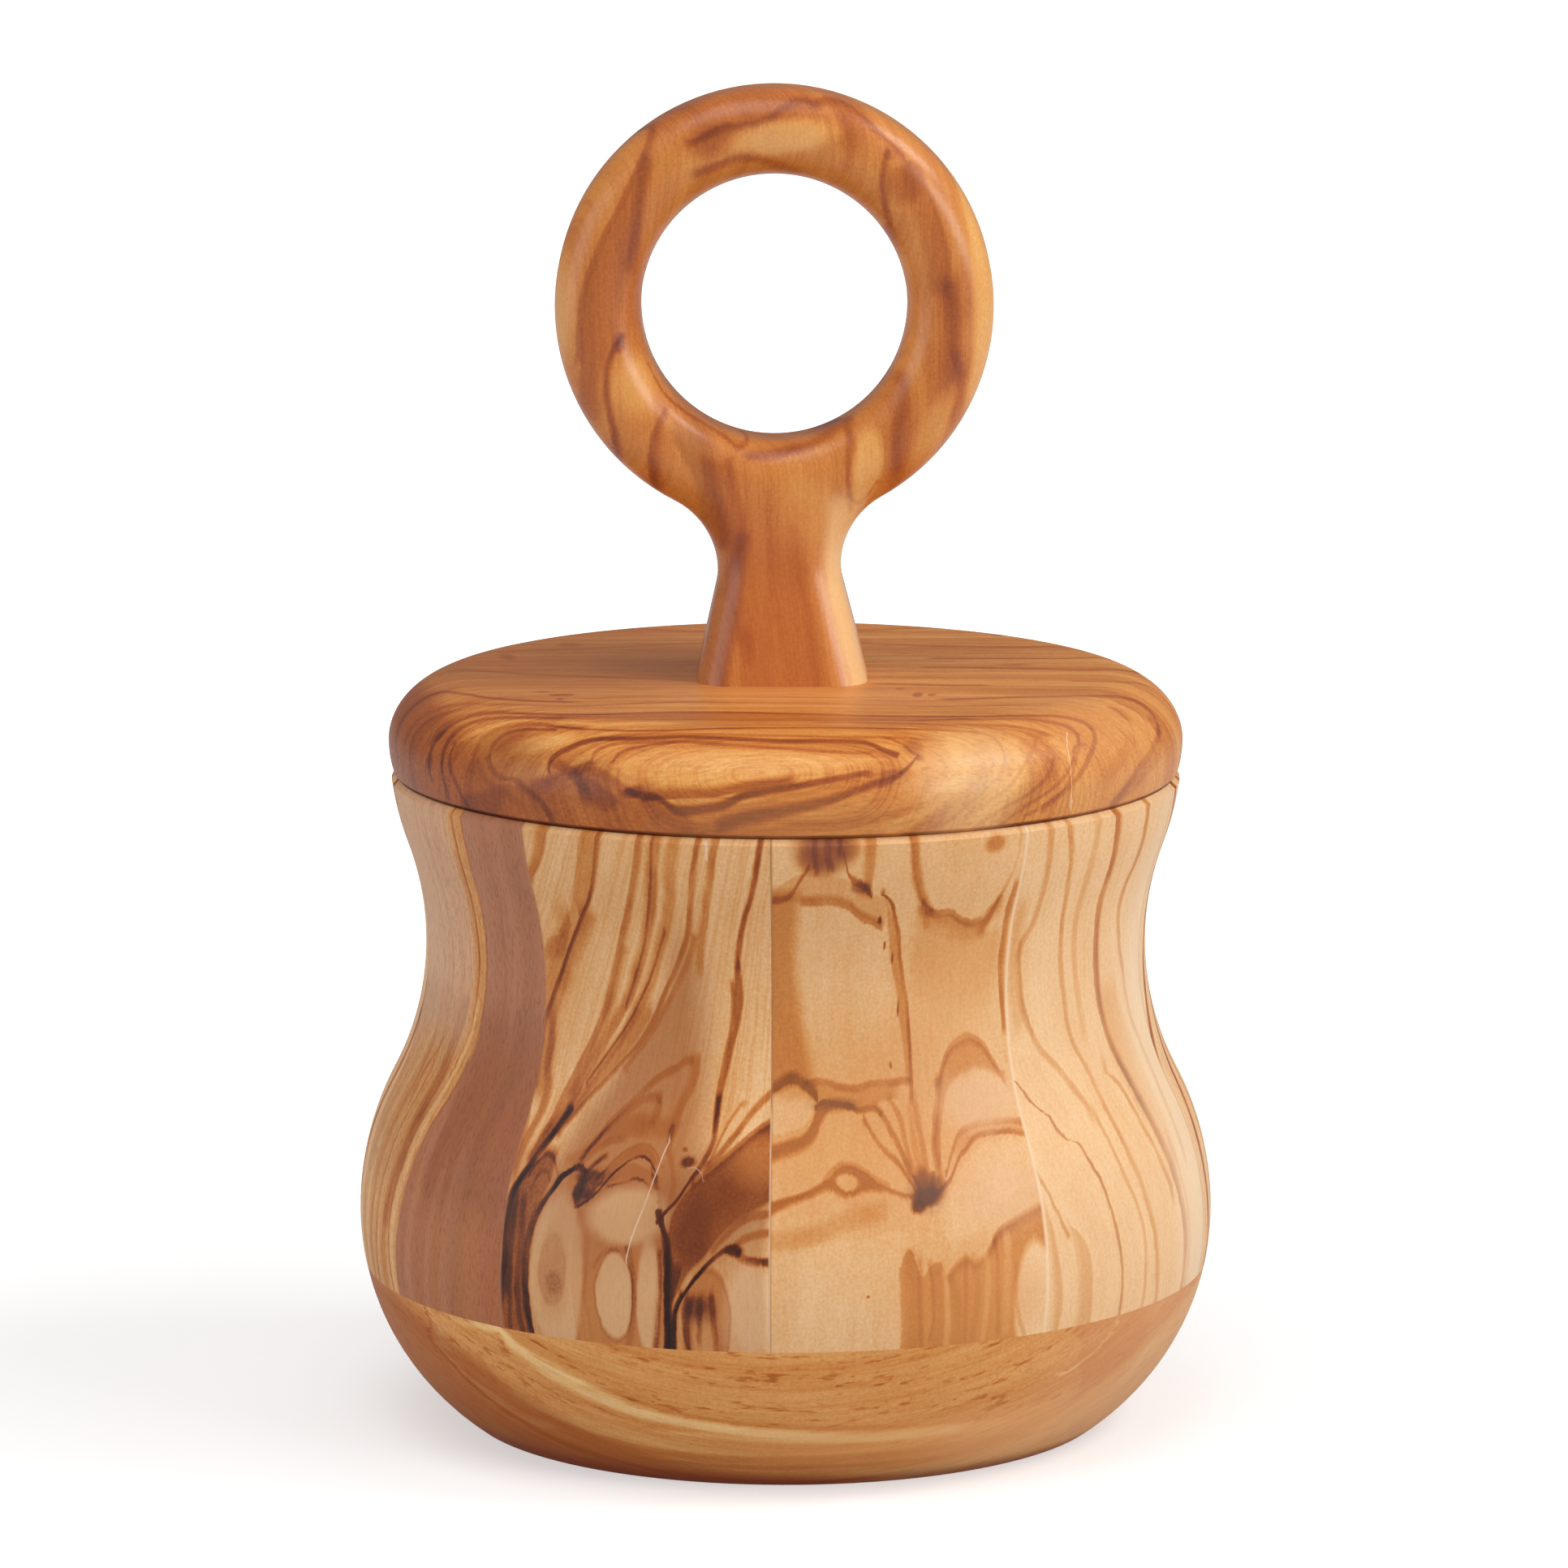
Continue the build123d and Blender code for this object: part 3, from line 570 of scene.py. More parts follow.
frontRight = {
    "seed": 11.0,
    "fibre": 0.025,
    "streaks": 0.05,
    "strength": 0.84,                # how dark its marks are
    "flow": (
        [(-2, 78), (-2, 60), (-2, 40), (-2, 19)],
        [(36, 78), (36, 60), (36, 40), (36, 19)],
    ),
    "rings": 4.0,
    "broad": 0.06,
    "fine": 0.015,
    "ground": 0.14,
    "flecks": 0.07,
    "marks": [
        # left ground, window and the tan run over it
        band(0.32, (0.1, 2.0), [(-2.4, 71), (-2.4, 60), (-2.4, 48)], [(3, 71), (2.6, 66), (2.5, 62),
            (3.2, 58), (4.2, 54), (5, 51), (5.4, 48)]),
        band(0.14, (0.6, 0.5), [(-2.4, 70.4), (2.3, 70.1), (5, 70.2), (7.4, 70.1), (9, 69.5), (10.9, 68.2),
            (13.2, 67.5), (14.6, 66.8)], [(-2.4, 71.6), (3, 74), (9, 73), (12, 71.5),
            (14.6, 71)], True, 0.6),
        vein(0.36, (0.5, 1.2), [(2.3, 70.1), (5, 70.2), (7.4, 70.1), (9, 69.5), (10.9, 68.2), (13.2, 67.5),
            (14.2, 66.9)], True, 0.6),
        vein(0.46, (0.4, 0.8), [(-2.4, 70.6), (-1.2, 70.4), (0.6, 71), (1.9, 72.8),
            (3.1, 74.4)], True, 0.3),
        # purple blotch and the spots at its right
        oval(0.4, (5.4, 76.6), (3.2, 2.6), 0.9),
        vein(0.36, 0.5, [(4.2, 78), (4.0, 76), (4.3, 74.2)]),
        vein(0.42, 0.6, [(6.2, 78), (6.0, 76.4), (6.4, 74.6)]),
        vein(0.4, 0.4, [(7.8, 78), (7.6, 76.6)]),
        oval(0.3, (3.6, 75.2), (1.6, 1.6), 1.0),
        oval(0.26, (8.6, 76.8), (1.6, 1.4), 1.0),
        vein(0.5, (0.6, 0.8), [(8.3, 76), (8.7, 74), (9.2, 73), (10.4, 72.4), (11.6, 71.6),
            (12.4, 71)], True, 0.3),
        oval(0.4, (10.8, 71.9), (1.1, 0.7), 1.0),
        vein(0.3, (1.3, 0.5), [(12.5, 78), (12.3, 74.8), (11.8, 71.4)]),
        # thin dark line down the window's right, with a soft orange run beside it
        vein(0.5, (0.42, 0.3), [(14.2, 71), (15.4, 70.2), (16.5, 67.6), (17.5, 64.4), (18.2, 61.5),
            (18.9, 57.9), (19.2, 55), (19.3, 52), (19.1, 49), (18.8, 47)]),
        band(0.26, (0.5, 0.4), [(14.4, 70.5), (15, 67.3), (15.8, 63.4), (16.8, 59.8), (17.6, 55.3),
            (17.9, 49)], [(15, 70.5), (16.4, 67.6), (17.4, 64.4), (18.2, 61.5), (18.8, 57.9), (19.2, 52),
            (19, 49)]),
        oval(0.7, (14.1, 67.9), (0.22, 0.5), 0.8),
        oval(0.6, (15.0, 64.7), (0.18, 0.5), 0.8),
        oval(0.5, (16.5, 63.2), (0.14, 0.7), 0.8),
        oval(0.6, (17.6, 57.2), (0.14, 0.9), 0.8),
        oval(0.5, (16.1, 50.7), (0.2, 0.4), 0.8),
        oval(0.6, (10.7, 25.3), (0.2, 0.2), 0.8),
        oval(0.09, (12, 44), (15, 11), 1.2),
        # line under the window, the pale eye at the joint and the orange run below
        vein(0.6, (0.5, 1.4), [(-2.4, 47.9), (-1.4, 48.3), (-0.1, 49), (1.5, 49.3), (3.1, 48.6),
            (4.8, 47.3)], True, 0.2),
        vein(0.38, (0.7, 0.5), [(3.5, 49.2), (5.4, 49.1), (7.7, 48.5), (10, 48.3), (12.6, 48.6),
            (15.2, 48.8), (18.6, 48.8)], True),
        band(0.22, (0.5, 0.8), [(4.6, 46.8), (10, 46.2), (16, 46.6)], [(4.6, 49.2), (10, 48.4),
            (16, 49)], True),
        band(-0.4, (0.5, 0.6), [(-2.4, 43), (0.9, 43.6), (2.8, 44.2), (4.6, 46.4)], [(-2.4, 47.4),
            (0, 48.6), (2, 48.8), (4.6, 47)], True, 0.2),
        vein(0.62, (0.5, 0.4), [(4.6, 46.4), (5.6, 46.9), (7, 46.6), (9, 46.4), (10, 46.3)], True, 0.4),
        vein(0.5, (0.6, 0.5), [(9, 46.4), (10.9, 46), (12.9, 46), (14, 45.4)], True, 0.6),
        oval(0.26, (7.6, 46.4), (2.2, 0.7), 1.2),
        band(0.52, (1.2, 0.7), [(-2.4, 39.9), (0.9, 40.7), (2.8, 41.3), (4.5, 42.6), (5.4, 44.3), (7, 45.6),
            (9.3, 46)], [(-2.4, 42.5), (0.9, 43.3), (2.8, 43.9), (4, 45.2), (4.8, 46.6), (7, 47),
            (9.3, 46.8)], True, 0.3),
        band(0.5, (0.9, 0.5), [(-2.4, 34), (0.9, 35.5), (3.5, 36.3), (5.7, 36.8), (7.4, 36.2), (9.3, 36.4),
            (10.6, 36.8), (13.2, 36.5), (15.5, 36), (17.6, 35.6)], [(-2.4, 36.3), (0.9, 37.1), (3.5, 37.9),
            (5.4, 38.7), (7, 39.8), (8.3, 40.2), (10, 40), (11.6, 38.9), (13.9, 37.6),
            (17.6, 36.8)], True, 0.3),
        vein(0.22, 0.5, [(5, 38.4), (7, 39.8), (8.3, 40.1), (10, 39.9), (11.6, 38.8),
            (13.9, 37.6)], True, 0.3),
        oval(-0.6, (8.3, 38.2), (1.4, 0.9), 0.5),
        vein(0.14, 1.6, [(-2.4, 31.6), (4, 32.6), (9, 34.4), (13, 35)], True),
        # star knot and its fans
        vein(0.36, 0.7, [(11.6, 45), (13.2, 42.4), (14.5, 41), (16.1, 39.8), (17, 38.4),
            (17.8, 36.8)], True, 0.4),
        vein(0.36, 0.5, [(13.2, 46.4), (14.5, 45), (15.5, 43.3), (16.8, 40.7), (17.6, 38.4),
            (18.2, 37)], fade=0.6),
        vein(0.28, 0.45, [(15.5, 46.8), (16.8, 44.9), (17.3, 42.3), (17.8, 39.6), (18.4, 37)]),
        vein(0.16, 0.5, [(18.4, 46), (18.6, 42.3), (18.8, 38)]),
        vein(0.24, 0.5, [(19.2, 47), (19.6, 43), (19.7, 39), (19.6, 37)]),
        oval(0.9, (19.2, 36.2), (1.5, 1.0), 0.9),
        oval(0.85, (18.0, 35.3), (0.8, 0.8), 0.9),
        oval(0.6, (19.1, 38.2), (0.7, 1.4), 1.1),
        oval(0.6, (20.9, 37.1), (1.0, 1.0), 1.1),
        vein(0.5, 0.4, [(18.0, 38.4), (18.6, 36.6)], fade=0.5),
        vein(0.5, 0.4, [(20.4, 38.6), (20.1, 36.6)], fade=0.5),
        vein(0.42, 0.45, [(20.8, 36.6), (21.6, 37), (23, 37.9), (23.9, 39), (24.9, 40.2), (26.2, 41),
            (27.8, 42), (29.8, 42.4), (32.7, 42.4), (36.6, 41.8)], True, 0.3),
        vein(0.3, 0.5, [(22.4, 38.4), (24.3, 41.3), (25.6, 42.6), (27.5, 43.3), (30.1, 43.6), (32.7, 43.6),
            (36.6, 43)], True, 0.3),
        band(0.14, (0.3, 0.3), [(24.6, 40.4), (26.6, 41.4), (30, 42.4), (36.6, 42)], [(24.6, 41.4),
            (26.6, 43), (30, 43.6), (36.6, 43.2)], True),
        # orange arch over a pale field, partly the wood's pale colour and partly a painted highlight where
        # the belly faces up
        band(0.24, (0.9, 0.5), [(21.4, 38.4), (22, 40), (22.6, 42.3), (23.6, 44.9), (24.9, 47.2),
            (26.5, 48.3), (28.1, 48.8), (31.1, 48.8), (33, 48.1), (34.6, 46.9), (36.6, 44.6)],
            [(21.4, 42.6), (22, 44), (23, 46.9), (23.6, 48.8), (24.9, 51.1), (26.2, 52.4), (27.8, 53),
            (29.4, 53.2), (31.1, 52.4), (32.7, 50.7), (34.3, 48.5), (36.6, 44.9)], True, 0.4),
        vein(0.3, (1.3, 0.5), [(23.4, 48.4), (24.9, 51.1), (26.2, 52.4), (27.8, 53.1), (29.4, 53.2),
            (31.1, 52.4), (32.7, 50.7), (34.3, 48.5)], True),
        vein(0.28, (0.4, 0.8), [(23.4, 48.6), (22.9, 46.9), (21.8, 43.6), (21.2, 41), (21.2, 38.4)]),
        # partly a painted highlight: the pale field faces up and catches the light
        oval(-0.3, (30, 45.8), (5.2, 2.8), 0.7),
        # loop at the top right, and the orange runs round and under it
        vein(0.42, (0.9, 0.5), [(20.6, 70), (21.7, 68.9), (23, 68.4), (25.2, 68.3), (26.9, 67.4),
            (28.8, 66.8), (30.2, 67)], True, 0.6),
        vein(0.36, (0.7, 0.9), [(18.2, 78), (18.6, 75.1), (19.4, 72.5), (20.2, 70.6), (21.7, 68.8)]),
        band(0.2, (0.9, 0.5), [(17, 78), (17.6, 74.1), (18.6, 70.9), (20.4, 67.4)], [(18.4, 78), (18.8, 75),
            (19.8, 72), (22.4, 67.4)]),
        band(0.34, (1.0, 0.5), [(34.5, 78), (34.5, 74.8), (33.7, 71.9), (32.4, 69.6), (30.4, 67.6),
            (29.4, 65.6)], [(35.7, 78), (35.3, 74.1), (34.3, 70.6), (33, 67.6), (31.6, 65.6)]),
        band(0.3, (2.4, 0.4), [(20.6, 66.6), (25, 64.6), (30, 63.6), (33, 66.4)], [(20.6, 69.6),
            (22.6, 68.2), (25.2, 68.2), (28.8, 66.8), (30.6, 67), (33, 70)], True),
        band(0.12, (8.0, 1.0), [(21, 56), (26, 53), (33, 56)], [(21, 68), (26, 66), (33, 66)], True, 3),
        oval(0.36, (31.1, 76.3), (1.2, 1.0), 1.0),
        vein(0.4, (0.25, 0.9), [(35.4, 70.6), (34.9, 66), (34.9, 61), (35.6, 54)], fade=1.5),
        # orange patch at the foot
        band(0.3, (0.6, 0.5), [(15.2, 17), (20, 16), (28, 16), (36.6, 16)], [(15.2, 28.6), (15.8, 30.4),
            (16.4, 30.8), (17.2, 29.6), (18, 27.6), (19.4, 28.9), (20.6, 29), (21.6, 27.6), (22.6, 28.4),
            (24.3, 29.2), (25.6, 28.5), (27.5, 29.8), (29.1, 31.8), (31.4, 32.7), (33.7, 33.3),
            (36.6, 34.2)], True, 0.4),
        vein(0.24, (1.4, 0.5), [(21.6, 27), (22.6, 28.2), (24.3, 29), (25.6, 28.4), (27.5, 29.6),
            (29.1, 31.6), (31.4, 32.5), (33.7, 33.2), (36.6, 34)], True),
        vein(0.14, 1.2, [(20.2, 28), (20, 24), (20.4, 19)]),
        vein(0.18, 0.9, [(22, 27), (22.6, 24), (23, 18)]),
        vein(0.14, 0.5, [(25.4, 29), (25.6, 24), (25, 18)]),
        vein(0.14, 1.3, [(16.6, 30), (16.8, 24), (16.4, 18)]),
        vein(0.2, 0.4, [(17.8, 29), (17.5, 23), (17.9, 18)]),
        vein(0.2, 0.3, [(19.1, 28.6), (19.3, 24), (19, 20)]),
        vein(-0.4, 0.5, [(21.2, 27.4), (21.3, 23), (21.6, 18)]),
        vein(0.2, 0.35, [(24.2, 29), (24, 24), (24.3, 18)]),
        vein(-0.36, 0.5, [(27, 29), (27, 24), (26.6, 18)]),
        vein(0.2, 0.4, [(28.6, 30.6), (28.5, 26), (29, 20)]),
        vein(-0.3, 0.6, [(30.4, 31), (30, 26), (30.2, 20)]),
        oval(-0.8, (34.4, 23), (2.6, 6.8), 0.3),
        vein(0.16, 0.4, [(31.4, 27), (31.4, 24), (32.2, 21), (33.4, 18)]),
        band(-0.12, (0.5, 0.6), [(-2.4, 17), (7, 17), (15.2, 17)], [(-2.4, 31), (7, 32), (15.2, 33)], True),
        band(-0.2, (1.0, 1.0), [(23, 30.5), (27, 32), (30, 34.4), (36.6, 35.8)], [(23, 37.6), (26, 40.2),
            (30, 41.8), (36.6, 41.4)], True, 2),
    ],
    "tints": [
        tint(colour(120, 68, 60), 0.5, oval(1, (5.4, 76.6), (3.2, 2.6), 0.9),
            oval(0.7, (10.8, 71.9), (1.2, 0.8), 1.2)),
        tint(colour(112, 52, 44), 0.5, oval(1, (7.4, 46.6), (2.6, 0.6), 1.2)),
        # pale fields under the arch: partly the wood's pale colour and partly a painted highlight where the
        # belly faces up
        tint(colour(226, 176, 134), 0.45, oval(1, (30, 45.8), (5.6, 3.2), 1.0),
            oval(1, (31, 36), (6, 4), 1.2)),
        tint(colour(62, 34, 44), 0.5, oval(1, (19.3, 36.6), (1.9, 1.8), 1.2)),
        tint(colour(222, 150, 84), 0.45, oval(1, (25, 24), (8.5, 6.4), 1.0)),
        tint(colour(226, 160, 92), 0.3, oval(1, (27.6, 60), (6, 7), 1.2)),
        tint(colour(206, 138, 76), 0.3, oval(1, (13, 45), (14, 9.5), 1.2)),
    ],
    "glue": [
        seam(-2.0, 0.2, colour(176, 112, 66), 0.5),
        seam(36.4, 0.3, colour(244, 212, 176), 0.6),
    ],
}

# Right stave: pale, with soft orange lines that follow the belly.

right = {
    "seed": 19.0,
    "fibre": 0.03,
    "streaks": 0.05,
    "strength": 0.8,                  # how dark its marks are
    "flow": (
        [(37, 78), (37, 66), (37, 56), (38, 50), (44, 40), (49.6, 29), (50.4, 19)],
        [(65.4, 78), (64.6, 66), (68, 56), (70, 50), (74, 40), (77, 29), (77, 19)],
    ),
    "rings": 6.0,
    "broad": 0.08,
    "fine": 0.02,
    "ground": 0.1,
    "flecks": 0.04,
    "marks": [
        vein(0.23, (0.86, 0.58), [(40.8, 78), (41.4, 72), (41, 66), (39.2, 63), (39, 60), (39.8, 55),
            (41.5, 52), (43.4, 50), (46, 47.4), (50, 43)], fade=3),
        vein(0.18, (0.36, 0.43), [(38.8, 63), (39.2, 59), (40, 55), (41.2, 52.6)], fade=2),
        vein(0.25, (0.43, 0.72), [(44, 78), (45.4, 74), (46.4, 69), (47, 65), (47.8, 60), (48.8, 56),
            (49.4, 52.4), (50.4, 49.6), (52, 47), (53.2, 44), (54.2, 40), (55.6, 35.6), (57.2, 30),
            (58.6, 24), (59.4, 18)]),
        vein(0.14, 0.86, [(50.6, 78), (50.8, 70), (51, 62), (52.4, 56), (53, 52)], fade=3),
        vein(0.48, (0.36, 1.44), [(54.6, 78), (55.6, 75), (56.2, 70), (55.9, 66), (56.6, 62), (57.4, 57),
            (58.2, 53), (59.4, 49.6), (61.4, 46), (63, 42.4), (63.8, 38), (65.2, 34), (66.4, 30),
            (67.2, 24), (67.6, 18)]),
        vein(0.18, (0.29, 0.58), [(56.8, 64), (58, 58), (58.8, 53), (60.2, 49), (62.2, 45),
            (63.6, 41)], fade=3),
        vein(0.3, (0.5, 0.72), [(56.5, 46), (58.4, 45), (60, 42), (61.2, 38.6), (62.6, 35),
            (64, 32)], fade=3),
        vein(0.18, (0.43, 0.58), [(67, 36), (68.2, 32), (69, 27), (69.4, 18)], fade=3),
        vein(0.34, (0.86, 0.58), [(64.4, 78), (65.2, 75), (65.2, 70.6), (63.8, 67), (63.6, 64),
            (65.4, 60.6), (67.4, 57), (68.2, 54), (69.4, 50.4), (70.8, 47.4), (71.8, 44), (71.4, 40),
            (71.4, 35)], fade=3),
        vein(0.53, 0.29, [(36, 47.6), (37.6, 46.6), (39, 44.6), (40.2, 43.8), (41.4, 43.2), (42.4, 41.4),
            (43.4, 40.2), (45, 39.7), (46, 38), (47.4, 35.2), (48.6, 31.6), (49.5, 28.6), (50.2, 24),
            (50.6, 18)], fade=0.4),
        vein(0.25, 0.43, [(50.8, 41), (51.8, 38), (53.2, 34.6), (54.6, 30.6), (55.4, 26),
            (55.8, 20)], fade=3),
        vein(0.34, 0.32, [(36.2, 37.8), (37.4, 35.6), (38.8, 32.6), (40.2, 29.8)], fade=0.6),
        band(0.24, (1.2, 0.4), [(35.8, 34), (36.4, 28), (37.2, 18)], [(36.8, 34), (38.4, 29), (39, 18)]),
        band(0.22, (1.2, 0.4), [(39.8, 31), (40.8, 27), (41.4, 18)], [(40.8, 31), (43.4, 28.6), (44.6, 24),
            (44.8, 18)]),
        band(0.14, (1.0, 1.6), [(36.4, 67), (36.4, 58), (36.6, 54)], [(40, 67), (39.6, 58),
            (40.4, 54)], fade=3),
        band(0.12, (2.0, 2.0), [(57, 54), (60, 44), (63, 34)], [(66, 54), (70, 44), (69, 34)], fade=4),
    ],
    "tints": [
        tint(colour(240, 202, 158), 0.26, oval(1, (52, 34), (20, 30), 1.0)),
        tint(colour(248, 224, 192), 0.5, oval(1, (77, 40), (9, 34), 1.1)),
    ],
    "glue": [
        seam(36.4, 0.3, colour(246, 214, 178), 0.6),
        seam(76.86, 0.26, colour(146, 96, 58), 0.6),
    ],
}

# Left stave: tan lines at the far side, then an even pinkish-brown heartwood with a crisp edge.

heartEdge = [(-54, 80), (-53.7, 70), (-54.4, 61), (-55, 54), (-55.4, 50), (-57.4, 46.4), (-59.8, 42),
             (-62, 36), (-63.2, 30), (-64.2, 24), (-64.6, 17)]
heartFar = [(-38, 80), (-38, 60), (-38, 40), (-38, 17)]

left = {
    "seed": 27.0,
    "fibre": 0.05,
    "streaks": 0.34,
    "strength": 0.8,                 # how dark its marks are
    "flow": (
        [(-76, 78), (-76, 60), (-78, 50), (-82, 40), (-82, 19)],
        [(-54, 78), (-54.3, 61), (-55.2, 52), (-59.8, 42), (-63.6, 27), (-64.6, 19)],
    ),
    "rings": 8.0,
    "broad": 0.26,
    "fine": 0.06,
    "ground": 0.2,
    "flecks": 0.1,
    "marks": [
        vein(0.16, 1.0, [(-62, 78), (-62.6, 66), (-62, 56), (-63.4, 46), (-66, 36), (-68.6, 26),
            (-69, 18)]),
        vein(0.2, 0.7, [(-68.6, 78), (-69, 66), (-69.4, 56), (-70.6, 46), (-73, 36), (-75, 18)]),
        vein(0.34, 0.3, [(-56, 78), (-56.2, 66), (-56.8, 56), (-59.6, 47), (-63.4, 40), (-66, 30),
            (-66.4, 18)]),
        vein(0.3, 0.24, [(-58.6, 78), (-59, 66), (-59.4, 56), (-61.6, 47), (-64.4, 40)]),
        vein(0.3, 0.3, [(-65, 78), (-65.6, 66), (-65.4, 56), (-67, 46), (-70, 36), (-72.4, 18)]),
        vein(0.16, 1.1, [(-57, 72), (-57, 60), (-58.6, 50), (-63.6, 42), (-65.6, 34)]),
        vein(0.28, (1.6, 1.2), [(-60, 54), (-62.4, 47), (-64.4, 41), (-65.6, 35), (-67.6, 27)]),
        vein(0.26, 0.5, [(-65, 50), (-67.4, 47), (-69.4, 44.6), (-70, 41)]),
        vein(-0.3, 0.9, [(-56.8, 54), (-58.4, 49), (-61, 44), (-63.2, 36), (-64.8, 30), (-65.4, 24),
            (-65.4, 18)]),
        band(0.42, (0.45, 0.5), heartEdge, heartFar),
        vein(0.2, (0.2, 0.9), [(-53.8, 80), (-53.6, 70), (-54.3, 61), (-54.9, 54), (-55.5, 50),
            (-57.5, 46.4)]),
        band(-0.12, (2, 2), [(-62, 32), (-63, 24), (-63, 17)], [(-43, 32), (-42, 24), (-42, 17)]),
    ],
    "tints": [
        tint(colour(170, 108, 80), 0.62, band(1, (0.4, 0.5), heartEdge, heartFar)),
        tint(colour(196, 140, 108), 0.3, band(1, (0.6, 2.4), [(-54, 80), (-53.7, 70), (-54.4, 61),
            (-55, 54), (-57.4, 46.4), (-62, 36), (-64.2, 24), (-64.6, 17)], [(-50, 80), (-50, 70),
            (-51, 61), (-51.6, 54), (-54, 46.4), (-59, 36), (-61, 24), (-61, 17)])),
        tint(colour(196, 140, 110), 0.4, band(1, (0.4, 0.4), [(-53.6, 80), (-54, 64), (-54.6, 56)],
            [(-38, 80), (-38, 64), (-38, 56)], fade=9)),
        tint(colour(142, 82, 56), 0.35, band(1, (3, 3), [(-57, 52), (-60, 42), (-60, 34)], [(-38, 52),
            (-38, 42), (-38, 34)], fade=6)),
        tint(colour(216, 174, 144), 0.62, band(1, (3, 3), [(-84, 80), (-84, 64), (-84, 52)], [(-56, 80),
            (-56, 64), (-57, 52)], fade=6)),
        tint(colour(168, 110, 66), 0.3, band(1, (2, 2), [(-84, 52), (-84, 40), (-84, 34)], [(-58, 52),
            (-61, 40), (-63, 34)], fade=5)),
        tint(colour(198, 138, 108), 0.34, vein(1, 1.1, [(-58, 40), (-60, 28), (-61, 18)], fade=5),
            vein(1, 0.7, [(-54, 34), (-55.6, 24), (-56, 18)], fade=5), vein(1, 1.5, [(-50, 36), (-51, 26),
            (-52, 18)], fade=5), vein(0.7, 0.8, [(-46, 80), (-46.4, 66), (-47.6, 54)], fade=8)),
        tint(colour(128, 74, 52), 0.16, vein(1, (1.6, 2.2), [(-43.6, 80), (-43.6, 62), (-45, 50), (-48, 40),
            (-49.6, 28), (-50, 17)]), vein(1, (0.5, 0.5), [(-49, 80), (-49, 62), (-50.4, 50), (-55, 40),
            (-57.6, 28), (-58, 17)])),
    ],
}

# The other staves, which face away: uneven veins that follow the belly, and no two alike.

plainStave = {
    "fibre": 0.03,
    "streaks": 0.08,
    "rings": 5.0,
    "broad": 0.24,
    "fine": 0.04,
    "flecks": 0.08,
    "veins": 9,
    "hearts": (4, 7),                # numbers of the staves with a broad run of brown heartwood
    "heartColour": colour(166, 104, 76),
    "knots": (6, 8),                 # and of those with a small knot in an eye of darker rings
    "seamColour": colour(146, 96, 58),
    # ranges from which each stave takes values of its own
    "grounds": (0.08, 0.2),
    "leans": (-6, 6),
    "veinTones": (0.12, 0.56),
    "veinLefts": (0.25, 0.6),        # how far a vein reaches to its left and right, in mm
    "veinRights": (0.3, 1.5),
    "sways": (-3, 3),                # of all the veins together
    "ownSways": (-0.8, 0.8),         # and of each by itself
    "heartPlaces": (-6, 6),
    "heartWidths": (6, 10),
    "knotPlaces": (-9, 9),
    "knotHeights": (34, 56),
}

# Degrees round the pot: the joint between the two front staves, their width, and that of the others.

frontJoint, frontWidth, staveCount = -2.0, 38.4, 9
sideWidth = (360 - 2 * frontWidth) / (staveCount - 2)
staveTurns = [frontJoint - frontWidth / 2, frontJoint + frontWidth / 2]
staveTurns += [frontJoint + frontWidth + sideWidth * (k + 0.5) for k in range(staveCount - 2)]
staveTurns[8] -= 360                 # the left stave is counted back from the front


def backLook(turn, number):
    def pick(low, high, salt):       # a value of this stave's own
        return low + (high - low) * (0.5 + 0.5 * math.sin(number * 12.9 + salt * 7.8))

    half, lean = sideWidth / 2, pick(*plainStave["leans"], 1)
    look = dict(plainStave, seed=number * 5.3, ground=pick(*plainStave["grounds"], 2))
    look["flow"] = (
        [(turn - half, 78), (turn - half + lean, 58), (turn - half - lean, 40), (turn - half, 19)],
        [(turn + half, 78), (turn + half - lean / 2, 58), (turn + half - lean, 40), (turn + half + lean, 19)],
    )
    marks = []
    for k in range(look["veins"]):
        start = turn - half + 2 * half * (k + pick(0.1, 0.9, k + 3)) / look["veins"]
        sway = pick(*look["sways"], 4) + pick(*look["ownSways"], k)
        reach = (pick(*look["veinLefts"], k), pick(*look["veinRights"], k * 2.3))
        marks.append(vein(pick(*look["veinTones"], k * 1.7), reach, [
            (start, 78), (start + sway, 66), (start + sway * 0.6, 54), (start - sway, 42),
            (start - sway * 1.6, 30), (start - sway * 1.2, 18)]))
    if number in look["hearts"]:
        middle, wide = turn + pick(*look["heartPlaces"], 5), pick(*look["heartWidths"], 6)
        sides = [[(middle + way * wide, 80), (middle + way * wide + lean, 60),
                  (middle + way * wide - lean, 40), (middle + way * wide - lean / 2, 17)] for way in (-1, 1)]
        marks.append(band(0.3, (0.5, 4), *sides))
        look["tints"] = [tint(look["heartColour"], 0.56, band(1, (0.4, 5), *sides))]
    if number in look["knots"]:
        at = (turn + pick(*look["knotPlaces"], 7), pick(*look["knotHeights"], 8))
        marks += [oval(0.2, at, (5.4, 9.0), 0.5, (0.4, 0.1)), oval(0.2, at, (3.4, 5.4), 0.4, (0.42, 0.14)),
                  oval(0.9, at, (1.3, 1.7), 0.9)]
    look["marks"] = marks
    look["glue"] = [seam(turn + half, 0.26, look["seamColour"], 0.6)]
    return look


bespoke = {1: frontLeft, 2: frontRight, 3: right, 9: left}

for number, turn in enumerate(staveTurns, 1):
    look = bespoke.get(number) or backLook(turn, number)
    nodes[f"stave_{number}"].material_slots[0].material = staveWood(f"staveWood{number}", turn, look)
print("staves finished")


# Base disc: one round of wood sawn across its rings, which lie in it like shallow dishes. The figure
# is drawn in millimetres to the right and up.

